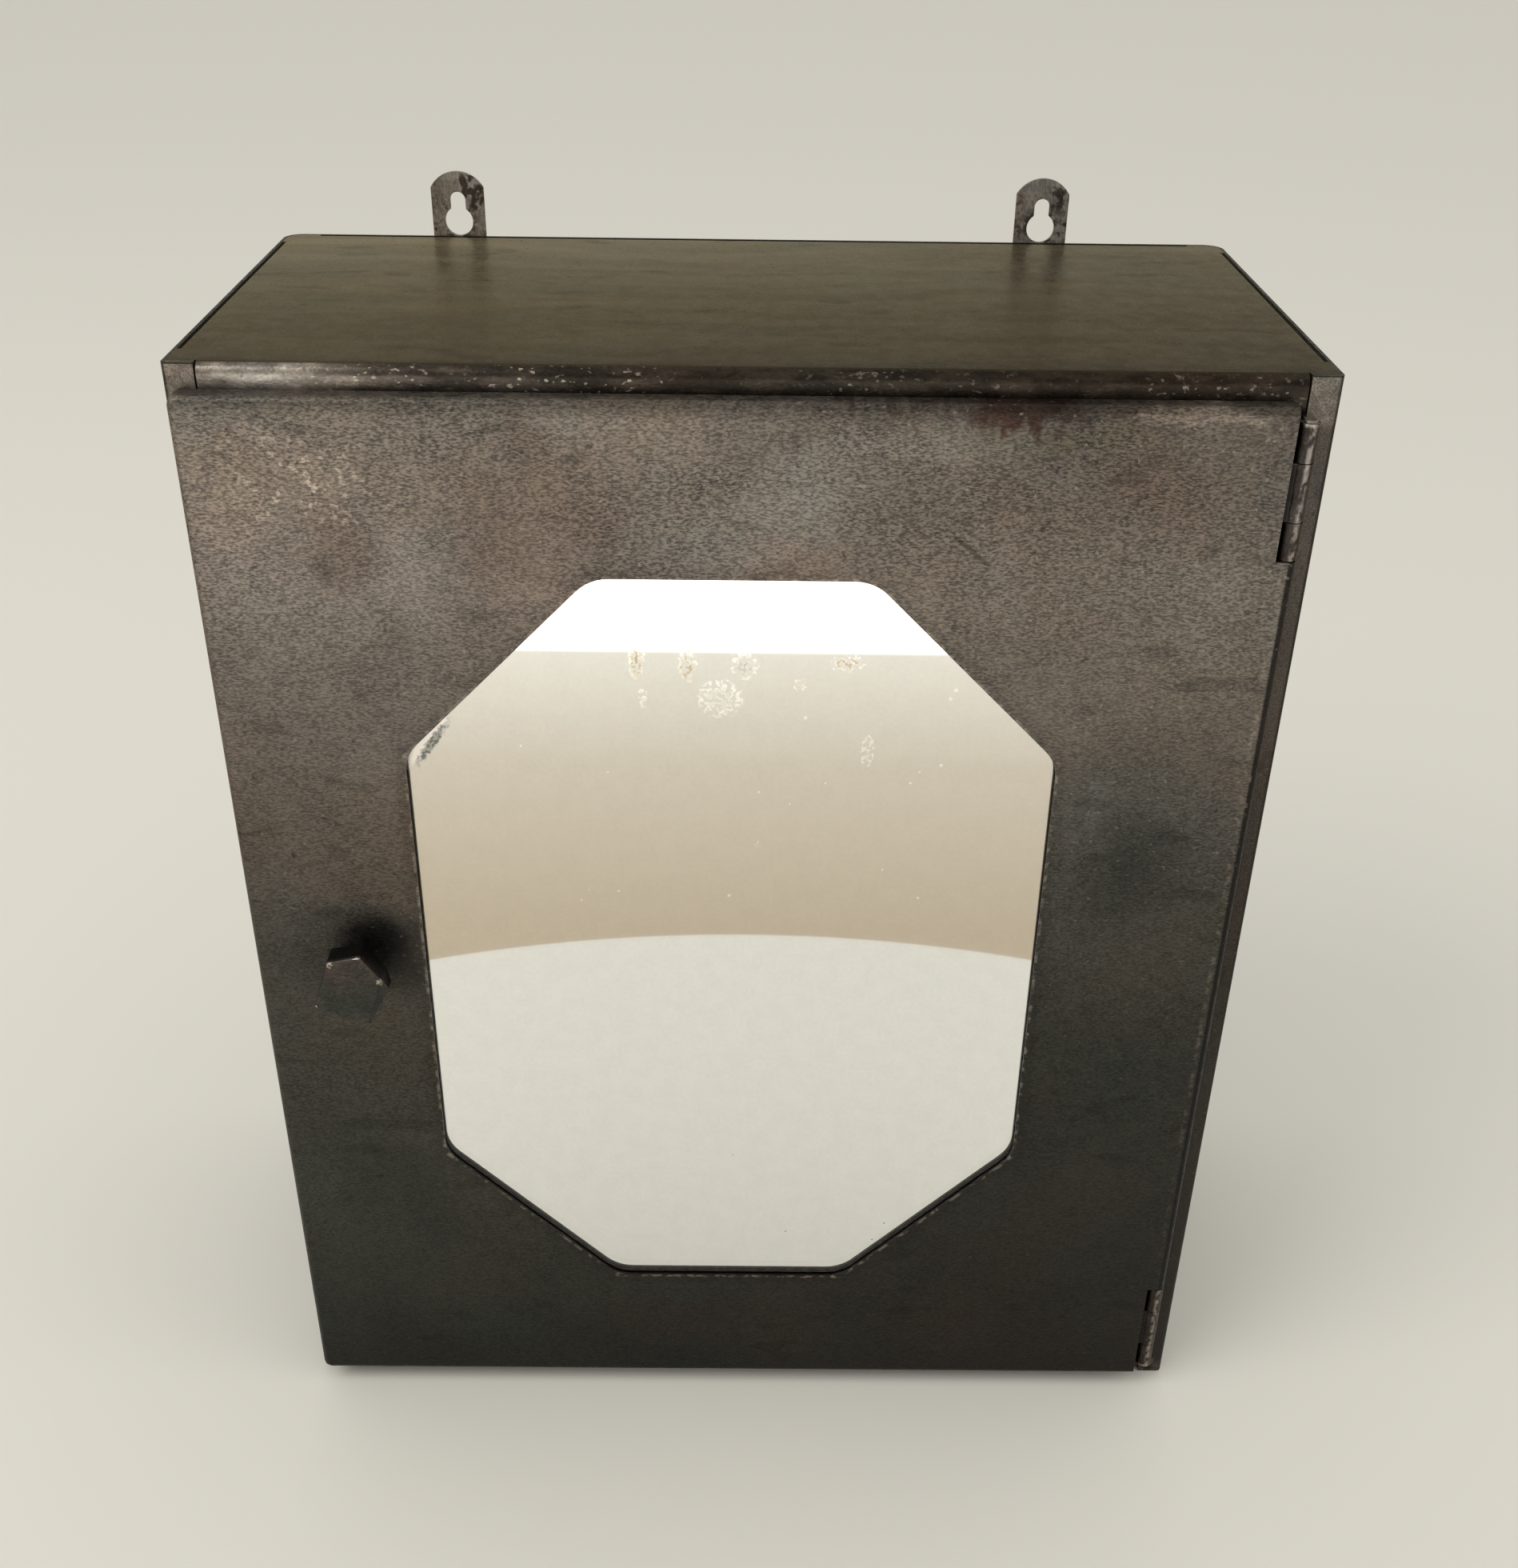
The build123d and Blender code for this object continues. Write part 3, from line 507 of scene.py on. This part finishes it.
def top_flange(paint):
    """Front flange: rubbed bright at its left end, sparks further on, with painted shade along its foot over
    the door.
    """
    flange = paint.stops(paint.x, FLANGE_TONES)
    rub = paint.cloud(220, 3.0, (0.3, 1.0, 1.0), low=0.40, high=0.64)
    flange = paint.shade(flange, paint.ramp(rub, 0.0, 1.0, 0.70, 1.30))
    sparks = paint.cloud(640, 2.0, (0.6, 1.0, 1.0), low=0.60, high=0.68)
    fewer = paint.ramp(paint.x, -70 * MM, 0.0, 0.75, 0.3)
    band = paint.times(paint.cloud(30, 2.0, low=0.42, high=0.6), fewer)
    flange = paint.stain(flange, WORN, paint.times(sparks, band))
    # Painted shade along the foot of the flange, over the gap above the door
    foot = paint.ramp(paint.z, TOP_HIGH.z - 9.0 * MM, TOP_HIGH.z - 11.4 * MM)
    return paint.shade(flange, paint.ramp(foot, 0.0, 1.0, 1.0, 0.5))


def top_paint():
    """Olive oiled steel on top, and the worn front flange, with painted shade on the bend between them."""
    paint = Paint("top_patina", metallic=0.75)
    paint.feed(paint.shader.inputs["Specular Tint"], TOP_SHEEN)
    front = paint.ramp(paint.y, TOP_LOW.y + 3.0 * MM, TOP_LOW.y + 1.6 * MM)
    colour = paint.mix(front, top_plate(paint), top_flange(paint))
    # Painted shade on the bend from the top into the front flange
    near = paint.ramp(paint.y, TOP_LOW.y + 8 * MM, TOP_LOW.y + 3 * MM)
    bend = paint.times(near, paint.ramp(front, 1.0, 0.0))
    colour = paint.shade(colour, paint.ramp(bend, 0.0, 1.0, 1.0, 0.78))
    return aged(paint, colour, ALONG_X, wear=0.06, contrast=0.45, shine=0.27, depth=0.012 * MM)


def bottom_paint():
    """Plain dark steel under the case."""
    paint = Paint("bottom_patina", metallic=0.7)
    return aged(paint, tone((66, 60, 52)), ALONG_X, wear=0.3, shine=0.42)


# Height and tone up the sides and back, and up the strips beside the door
SIDE_TONES = ((0, (54, 50, 44)), (150, (64, 59, 51)), (300, (78, 72, 63)), (430, (90, 83, 72)))
STRIP_TONES = ((0, (42, 38, 34)), (215, (60, 55, 49)), (430, (82, 75, 68)))


def wrap_paint():
    """Sides and back: dark olive brown, black cut edges, rubbed grey corners in front, and painted shade
    along the outer edges of the front strips.
    """
    paint = Paint("case_patina", metallic=0.7)
    loose = paint.warp(11, 22 * MM)
    rise = paint.add("ShaderNodeSeparateXYZ", loose).outputs[2]
    colour = paint.stops(rise, SIDE_TONES)
    brown = paint.cloud(18, 3.0, place=loose, low=0.5, high=0.66)
    colour = paint.stain(colour, EARTH, brown, 0.5)
    blue = paint.cloud(15, 2.0, place=paint.warp(20, 15 * MM), low=0.54, high=0.7)
    colour = paint.stain(colour, BLUE_BLACK, blue, 0.6)
    front = paint.ramp(paint.y, CASE_LOW.y + 2.4 * MM, CASE_LOW.y + 1.4 * MM)
    colour = paint.mix(front, colour, paint.stops(rise, STRIP_TONES))
    corner = paint.times(front, paint.ramp(paint.z, CASE_HIGH.z - TOP_CORNER[0], CASE_HIGH.z - TOP_CORNER[1]))
    bare = paint.cloud(230, 3.0, low=0.38, high=0.62)
    colour = paint.stain(colour, GREY_CORNER, corner, 0.7)
    colour = paint.stain(colour, BARE_CORNER, paint.times(corner, bare), 0.4)
    foot = paint.times(front, paint.ramp(paint.z, *FOOT_CORNER))
    colour = paint.stain(colour, GREY_CORNER, paint.times(foot, bare), 0.6)
    cut = paint.ramp(paint.z, CASE_HIGH.z - 0.5 * MM, CASE_HIGH.z - 0.15 * MM)
    colour = paint.stain(colour, CUT_EDGE, cut)
    # Painted shade along the outer bends of the front strips
    outer = paint.ramp(paint.math("ABSOLUTE", paint.x), CASE_HIGH.x - 1.8 * MM, CASE_HIGH.x - 0.8 * MM)
    colour = paint.stain(colour, SHADE_BLACK, paint.times(front, outer), 0.75)
    wear = paint.ramp(front, 0.0, 1.0, 0.12, 0.05)
    return aged(paint, colour, ALONG_Y, wear, shine=0.42)


def inner_paint():
    """Shelves and rails inside the case."""
    paint = Paint("inner_patina", metallic=0.7)
    worn = paint.cloud(20, 3.0, place=paint.warp(25, 12 * MM))
    colour = paint.mix(worn, tone((74, 68, 59)), tone((104, 95, 82)))
    return aged(paint, colour, ALONG_X, wear=0.35, shine=0.45)


def hinge_paint():
    """Rolled barrels: a ragged line down the front, partly rubbed and partly painted highlight, bright far
    ends, and painted shade in the gap at the left.
    """
    paint = Paint("hinge_patina", metallic=0.75)
    grain = paint.cloud(140, 3.0)
    colour = paint.mix(grain, tone((40, 34, 30)), tone((58, 51, 46)))
    # Ragged light line down each barrel's front: partly rubbed, partly painted highlight
    off_line = paint.math("ABSOLUTE", paint.math("SUBTRACT", paint.x, HINGE_X + 0.6 * MM))
    rub = paint.cloud(520, 3.0, (1.0, 1.0, 0.7), low=0.36, high=0.62)
    line = paint.times(paint.ramp(off_line, 1.5 * MM, 0.2 * MM), rub)
    colour = paint.stain(colour, BARREL_RUB_AND_HIGHLIGHT, line, 0.7)
    far = paint.math("ABSOLUTE", paint.math("SUBTRACT", paint.z, MID_Z))
    pin_end = HINGE_HIGH.z - MID_Z
    end = paint.ramp(far, pin_end - 2.2 * MM, pin_end - 1.2 * MM)
    colour = paint.stain(colour, WORN, paint.times(end, rub), 0.6)
    # Painted shade in the gap between the leaf and the barrel
    gap = paint.ramp(paint.x, HINGE_X - 2.5 * MM, HINGE_X - 2.9 * MM)
    near = paint.ramp(paint.x, HINGE_X - 5.4 * MM, HINGE_X - 4.8 * MM)
    colour = paint.stain(colour, SHADE_BLACK, paint.times(gap, near), 0.9)
    return aged(paint, colour, ALONG_Z, wear=0.1, contrast=0.7, shine=0.36)


def hanger_paint(node):
    """Bare grey plate with black pits at its right shoulder, a dark keyhole rim and a rusty left edge."""
    paint = Paint(f"{node}_steel", metallic=0.75)
    low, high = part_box(node)
    middle = (low.x + high.x) / 2 / MM
    base = paint.mix(paint.cloud(120, 3.0), tone((122, 118, 112)), tone((150, 146, 140)))
    pits = paint.cloud(330, 3.0, place=paint.warp(200, 1.2 * MM), low=0.46, high=0.56)
    shoulder = paint.patch(paint.place, (middle + 6.5, 0, high.z / MM - 7), (7, None, 10), 0.2)
    keyhole = paint.patch(paint.place, (middle, 0, (CASE_HIGH.z + KEYHOLE_RISE) / MM), (9, None, 9.5), 0.55)
    stray = paint.cloud(70, 1.0, low=0.50, high=0.64)
    colour = paint.stain(base, PIT, paint.times(pits, paint.most(shoulder, keyhole, stray)), 0.85)
    rust = paint.patch(paint.place, (middle - 10, 0, high.z / MM - 10), (4, None, 14), 0.2)
    colour = paint.stain(colour, PLATE_RUST, paint.times(rust, pits), 0.8)
    return aged(paint, colour, ALONG_Z, wear=0.15, contrast=0.6, shine=0.4)


def bare_paint():
    """Plain machined steel with a little oil: pins, clips, nut and washer."""
    paint = Paint("bare_steel", metallic=0.85)
    oil = paint.cloud(160, 3.0)
    colour = paint.mix(oil, tone((118, 112, 102)), tone((156, 151, 142)))
    return aged(paint, colour, ALONG_Z, wear=0.2, contrast=0.6, shine=0.34)


def board_paint():
    """Brown hardboard with fine fibres."""
    paint = Paint("hardboard", roughness=0.8)
    fibre = paint.cloud(900, 3.0, (0.2, 1.0, 1.0))
    blotch = paint.cloud(35, 3.0)
    colour = paint.mix(fibre, tone((104, 78, 54)), tone((142, 112, 82)))
    colour = paint.shade(colour, paint.ramp(blotch, 0.0, 1.0, 0.85, 1.1))
    return paint.finish(colour, paint.ramp(fibre, 0.0, 1.0, 0.72, 0.88), fibre, 0.05 * MM)


def glass_paint():
    """Clear glass, very slightly green."""
    paint = Paint("clear_glass", roughness=0.0)
    paint.shader.inputs["Transmission Weight"].default_value = 1.0
    paint.shader.inputs["IOR"].default_value = 1.5
    paint.shader.inputs["Base Color"].default_value = (0.985, 0.995, 0.985, 1.0)
    return paint


# Old spots in the silver: centre, radii, tone and strength
SILVER_MARKS = (
    (-37.6, 335.0, 3.4, 8.0, (196, 176, 130), 0.8),
    (-21.0, 334.0, 3.6, 8.0, (196, 178, 136), 0.75),
    (-2.0, 334.0, 5.5, 6.5, (190, 184, 166), 0.6),
    (31.7, 335.5, 6.5, 3.6, (196, 178, 140), 0.75),
    (-36.0, 322.0, 1.6, 5.0, (240, 236, 226), 0.8),
    (-10.0, 322.0, 10.0, 9.0, (214, 210, 192), 0.35),
    (16.2, 327.4, 2.6, 2.6, (236, 230, 214), 0.9),
    (39.7, 303.0, 3.2, 9.0, (232, 224, 208), 0.55),
    (3.0, 266.0, 2.2, 2.0, (240, 236, 226), 0.7),
)
# Small dots: their number, two corners in X and Z, and a seed
WHITE_DOTS = (18, (-85, 235), (80, 345), 4)
DARK_DOTS = (4, (-70, 80), (70, 200), 9)
DOT_RADII = (0.4, 0.9)
# The flake at the left shoulder lies along a line turned from upright
FLAKE_CENTRE = (-107.0, 0.0, 304.8)
FLAKE_TURN = math.radians(-35)


def scattered(count, low, high, seed):
    """Small dots between two corners: places in X and Z and radii, in millimetres."""
    draw = random.Random(seed)
    dots = []
    for _ in range(count):
        x = draw.uniform(low[0], high[0])
        z = draw.uniform(low[1], high[1])
        dots.append((x, z, draw.uniform(*DOT_RADII)))
    return dots


def silver_paint():
    """Old silvering: a few specks, brown beads near the top, and a flaked edge at the left shoulder."""
    paint = Paint("old_silver", metallic=1.0, roughness=0.015)
    flat = paint.vector("MULTIPLY", paint.place, (1.0, 0.0, 1.0))
    broken = paint.warp(500, 1.1 * MM, flat)
    dust = paint.math("MULTIPLY_ADD", paint.cloud(700, 2.0, place=flat), 0.022, 0.945)
    dust = paint.math("MULTIPLY_ADD", paint.cloud(120, 2.0, place=flat), 0.02, dust)
    colour = paint.shade((1.0, 1.0, 0.99), dust)
    beads = paint.cloud(620, 1.0, place=flat, low=0.47, high=0.55)
    marred = None
    for x, z, wide, tall, rgb, strength in SILVER_MARKS:
        mask = paint.times(paint.patch(broken, (x, 0, z), (wide, None, tall), 0.3), beads)
        colour = paint.stain(colour, rgb, mask, strength)
        marred = mask if marred is None else paint.most(marred, mask)
    for x, z, radius in scattered(*WHITE_DOTS):
        dot = paint.patch(flat, (x, 0, z), (radius, None, radius), 0.4)
        colour = paint.stain(colour, WHITE_DOT, dot, 0.7)
        marred = paint.most(marred, dot)
    for x, z, radius in scattered(*DARK_DOTS):
        dot = paint.patch(flat, (x, 0, z), (0.7 * radius, None, 0.7 * radius), 0.4)
        colour = paint.stain(colour, DARK_DOT, dot, 0.8)
    pivot = tuple(c * MM for c in FLAKE_CENTRE)
    turned = paint.add("ShaderNodeVectorRotate", broken, pivot, (0, 1, 0), FLAKE_TURN).outputs["Vector"]
    milky = paint.patch(turned, (FLAKE_CENTRE[0] - 3.5, 0, FLAKE_CENTRE[2]), (5.5, None, 20), 0.4)
    flake = paint.patch(turned, FLAKE_CENTRE, (2.0, None, 12.5), 0.5)
    colour = paint.stain(colour, MILKY, milky, 0.7)
    colour = paint.stain(colour, FLAKED, paint.times(flake, paint.ramp(beads, 0.0, 1.0, 0.7, 1.0)), 0.9)
    marred = paint.most(marred, paint.times(milky, 0.8), flake)
    veil = paint.cloud(60, 3.0, (1.0, 1.0, 0.4), flat, low=0.55, high=0.8)
    rough = paint.math("MULTIPLY_ADD", marred, 0.35, 0.012)
    rough = paint.math("MULTIPLY_ADD", veil, 0.01, rough)
    return paint.finish(colour, rough)


def slab(name, low, high, inset, body):
    """A thin sheet between two corners, drawn in by an inset all round."""
    mesh = bpy.data.meshes.new(name)
    form = bmesh.new()
    bmesh.ops.create_cube(form, size=1.0)
    size = high - low
    for vertex in form.verts:
        vertex.co.x = low.x + inset + (vertex.co.x + 0.5) * (size.x - 2 * inset)
        vertex.co.y = low.y + (vertex.co.y + 0.5) * size.y
        vertex.co.z = low.z + inset + (vertex.co.z + 0.5) * (size.z - 2 * inset)
    upright = [e for e in form.edges if abs(e.verts[0].co.y - e.verts[1].co.y) > size.y / 2]
    bmesh.ops.bevel(form, geom=upright, offset=SILVER_CORNER, segments=5, affect="EDGES", profile=0.5)
    form.to_mesh(mesh)
    form.free()
    piece = bpy.data.objects.new(name, mesh)
    bpy.context.scene.collection.objects.link(piece)
    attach(piece, body)
    return piece


def silvering():
    """The silver layer, just inside the back of the glass."""
    low = Vector((GLASS_LOW.x, GLASS_HIGH.y - SILVER_FRONT, GLASS_LOW.z))
    high = Vector((GLASS_HIGH.x, GLASS_HIGH.y - SILVER_BACK, GLASS_HIGH.z))
    return slab("mirror_silvering", low, high, SILVER_INSET, "door")


def forged_knob():
    """The knob head with eased edges and hammered faces, kept inside its solid."""
    mesh = frame["nodes"]["knob_head"].data.copy()
    mesh.name = "knob_forged"
    form = bmesh.new()
    form.from_mesh(mesh)
    bmesh.ops.remove_doubles(form, verts=form.verts, dist=0.01 * MM)
    bmesh.ops.dissolve_limit(form, angle_limit=math.radians(2), verts=form.verts, edges=form.edges)
    head_rear = KNOB_HIGH.y - KNOB_NECK
    sharp = []
    for edge in form.edges:
        ahead = all(v.co.y < head_rear + SAME_PLANE for v in edge.verts)
        if ahead and len(edge.link_faces) == 2 and edge.calc_face_angle() > math.radians(20):
            sharp.append(edge)
    bmesh.ops.bevel(form, geom=sharp, offset=EASED_EDGE, segments=2, affect="EDGES", profile=0.6)
    bmesh.ops.triangulate(form, faces=form.faces)
    for reach in FACE_REACHES:
        long = [e for e in form.edges if e.calc_length() > reach * MM]
        bmesh.ops.subdivide_edges(form, edges=long, cuts=1)
        bmesh.ops.triangulate(form, faces=form.faces)
    form.normal_update()
    for vertex in form.verts:
        if vertex.co.y < head_rear + SAME_PLANE:
            broad, fine = (noise.noise(vertex.co * scale) for scale in DENT_SCALES)
            vertex.co -= vertex.normal * DENT_DEPTH * max(0.0, broad + 0.5 * fine + 0.9)
            vertex.co.y = max(vertex.co.y, KNOB_LOW.y)
    form.to_mesh(mesh)
    form.free()
    for face in mesh.polygons:
        face.use_smooth = True
    mesh.set_sharp_from_angle(angle=math.radians(28))
    piece = bpy.data.objects.new("knob_forged", mesh)
    bpy.context.scene.collection.objects.link(piece)
    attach(piece, "latch")
    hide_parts("knob_head")
    return piece


# Rubbed spots on the knob's face: place from its middle, radii in X and Z, strength
KNOB_RUBS = (
    (-6.0, 13.2, 1.6, 1.2, 1.0),
    (4.0, 15.9, 2.4, 0.5, 0.7),
    (11.2, 6.0, 1.3, 1.9, 0.65),
    (-12.6, -5.2, 0.9, 1.3, 0.9),
)


def knob_paint():
    """Dark forged steel, painted shade down its sides, bright where the corners of the face are rubbed."""
    paint = Paint("knob_patina", metallic=0.75)
    base = paint.mix(paint.cloud(110, 3.0), tone((54, 57, 51)), tone((72, 66, 61)))
    # Painted shade: the sides behind the face turn near black, all but the flat at the lower right
    cos, sin = math.cos(KNOB_FLAT_ANGLE), math.sin(KNOB_FLAT_ANGLE)
    out = paint.math("ADD", paint.times(paint.x, cos), paint.times(paint.z, sin))
    out = paint.math("SUBTRACT", out, KNOB_X * cos + KNOB_Z * sin)
    deep = paint.math("SUBTRACT", paint.y, KNOB_LOW.y)
    past_flat = paint.math("SUBTRACT", paint.math("SUBTRACT", out, deep), KNOB_FLAT_DISTANCE)
    off_flat = paint.math("ABSOLUTE", past_flat)
    side = paint.times(paint.ramp(deep, 0.35 * MM, 0.9 * MM), paint.ramp(off_flat, 0.5 * MM, 1.0 * MM))
    colour = paint.stain(base, KNOB_SIDE_SHADE, side, 0.9)
    ragged = paint.cloud(900, 2.0, low=0.30, high=0.55)
    for x, z, wide, tall, strength in KNOB_RUBS:
        spot = (KNOB_X / MM + x, KNOB_LOW.y / MM, KNOB_Z / MM + z)
        rub = paint.patch(paint.warp(700, 0.9 * MM), spot, (wide, 1.5, tall), 0.3)
        colour = paint.stain(colour, RUBBED_KNOB, paint.times(rub, ragged), strength)
    return aged(paint, colour, ALONG_X, wear=0.05, contrast=0.7, shine=0.36)


def stage_floor():
    """Pale floor. Its reflection shows a round table edge, a warmer floor beyond it and a sunlit part."""
    half = FLOOR_REACH / 2
    mesh = bpy.data.meshes.new("floor")
    corners = [(-half, -half, 0), (half, -half, 0), (half, half, 0), (-half, half, 0)]
    mesh.from_pydata(corners, [], [(0, 1, 2, 3)])
    floor = bpy.data.objects.new("floor", mesh)
    bpy.context.scene.collection.objects.link(floor)
    paint = Paint("floor_paint", roughness=0.9)
    path = paint.add("ShaderNodeLightPath").outputs
    mirrored = paint.most(path["Is Glossy Ray"], path["Is Transmission Ray"])
    away = paint.vector("DISTANCE", paint.place, (*TABLE_CENTRE, 0.0))
    beyond = paint.times(mirrored, paint.ramp(away, TABLE_RADIUS - MM, TABLE_RADIUS + MM))
    sunlit = paint.times(mirrored, paint.ramp(paint.y, SUNLIT_Y + 2 * MM, SUNLIT_Y - 2 * MM))
    tile = paint.stops(paint.y, ((-830, FAR_TILE_TONE), (-640, MID_TILE_TONE), (-440, NEAR_TILE_TONE)))
    paint.finish(paint.mix(beyond, tone(FLOOR_TONE), tile))
    paint.feed(paint.shader.inputs["Emission Color"], (1.0, 1.0, 1.0))
    paint.feed(paint.shader.inputs["Emission Strength"], paint.times(sunlit, SUNLIT_STRENGTH))
    dress(paint, floor)


def world():
    """Neutral light from all round. The camera and shiny surfaces see a pale wall tone."""
    studio = bpy.data.worlds.new("studio")
    studio.use_nodes = True
    tree = studio.node_tree
    light = tree.nodes["Background"]
    light.inputs["Color"].default_value = (1.0, 1.0, 1.0, 1.0)
    light.inputs["Strength"].default_value = WORLD_STRENGTH
    wall = tree.nodes.new("ShaderNodeBackground")
    wall.inputs["Color"].default_value = (*tone(WALL_TONE), 1.0)
    path = tree.nodes.new("ShaderNodeLightPath")
    seen = path.outputs["Is Camera Ray"]
    for name in ("Is Glossy Ray", "Is Transmission Ray"):
        either = tree.nodes.new("ShaderNodeMath")
        either.operation = "MAXIMUM"
        tree.links.new(seen, either.inputs[0])
        tree.links.new(path.outputs[name], either.inputs[1])
        seen = either.outputs[0]
    choose = tree.nodes.new("ShaderNodeMixShader")
    tree.links.new(seen, choose.inputs[0])
    tree.links.new(light.outputs[0], choose.inputs[1])
    tree.links.new(wall.outputs[0], choose.inputs[2])
    tree.links.new(choose.outputs[0], tree.nodes["World Output"].inputs["Surface"])
    bpy.context.scene.world = studio


def lamp(name, place, size, power):
    """A soft area lamp that points at the middle of the object."""
    light = bpy.data.lights.new(name, "AREA")
    light.shape = "DISK"
    light.size = size
    light.energy = power
    holder = bpy.data.objects.new(name, light)
    holder.location = place
    aim = Vector((0, 0, CASE_HIGH.z / 2)) - Vector(place)
    holder.rotation_euler = aim.to_track_quat("-Z", "Y").to_euler()
    bpy.context.scene.collection.objects.link(holder)


def camera():
    """The photograph's view."""
    data = bpy.data.cameras.new("camera")
    data.sensor_width = SENSOR
    data.lens = FOCAL_PIXELS / max(IMAGE_SIZE) * SENSOR
    data.shift_y = (CENTRE_ROW - IMAGE_SIZE[1] / 2) / max(IMAGE_SIZE)
    data.clip_start = 0.01
    data.clip_end = 100.0
    eye = bpy.data.objects.new("camera", data)
    eye.location = CAMERA_PLACE
    eye.rotation_euler = [math.radians(a) for a in CAMERA_TILT]
    bpy.context.scene.collection.objects.link(eye)
    bpy.context.scene.camera = eye


# Nodes of plain machined steel
BARE_NODES = (
    "hanger_rivets", "hinge_upper_pin", "hinge_lower_pin", "mirror_clips",
    "knob_spindle", "spindle_sleeve", "latch_tongue", "latch_washer", "latch_nut",
)


def main():
    """Set the stage, then give every piece its paint."""
    bpy.context.scene.view_settings.view_transform = "Standard"
    camera()
    stage_floor()
    world()
    lamp("key_light", KEY_PLACE, KEY_SIZE, KEY_POWER)
    lamp("fill_light", FILL_PLACE, FILL_SIZE, FILL_POWER)

    dress(door_paint(), "door_pan")
    dress(top_paint(), "top_panel")
    dress(bottom_paint(), "bottom_panel")
    dress(wrap_paint(), "case_wrap")
    for node in ("hanger_left", "hanger_right"):
        dress(hanger_paint(node), node)
    dress(board_paint(), "mirror_backing")
    dress(glass_paint(), "mirror_glass")
    dress(silver_paint(), silvering())
    dress(knob_paint(), forged_knob())
    inner = inner_paint()
    barrels = hinge_paint()
    bare = bare_paint()
    for node, piece in frame["nodes"].items():
        if node.startswith("shelf"):
            dress(inner, node)
        elif node.endswith("leaf"):
            dress(barrels, node)
        elif not piece.data.materials or node in BARE_NODES:
            dress(bare, node)


main()
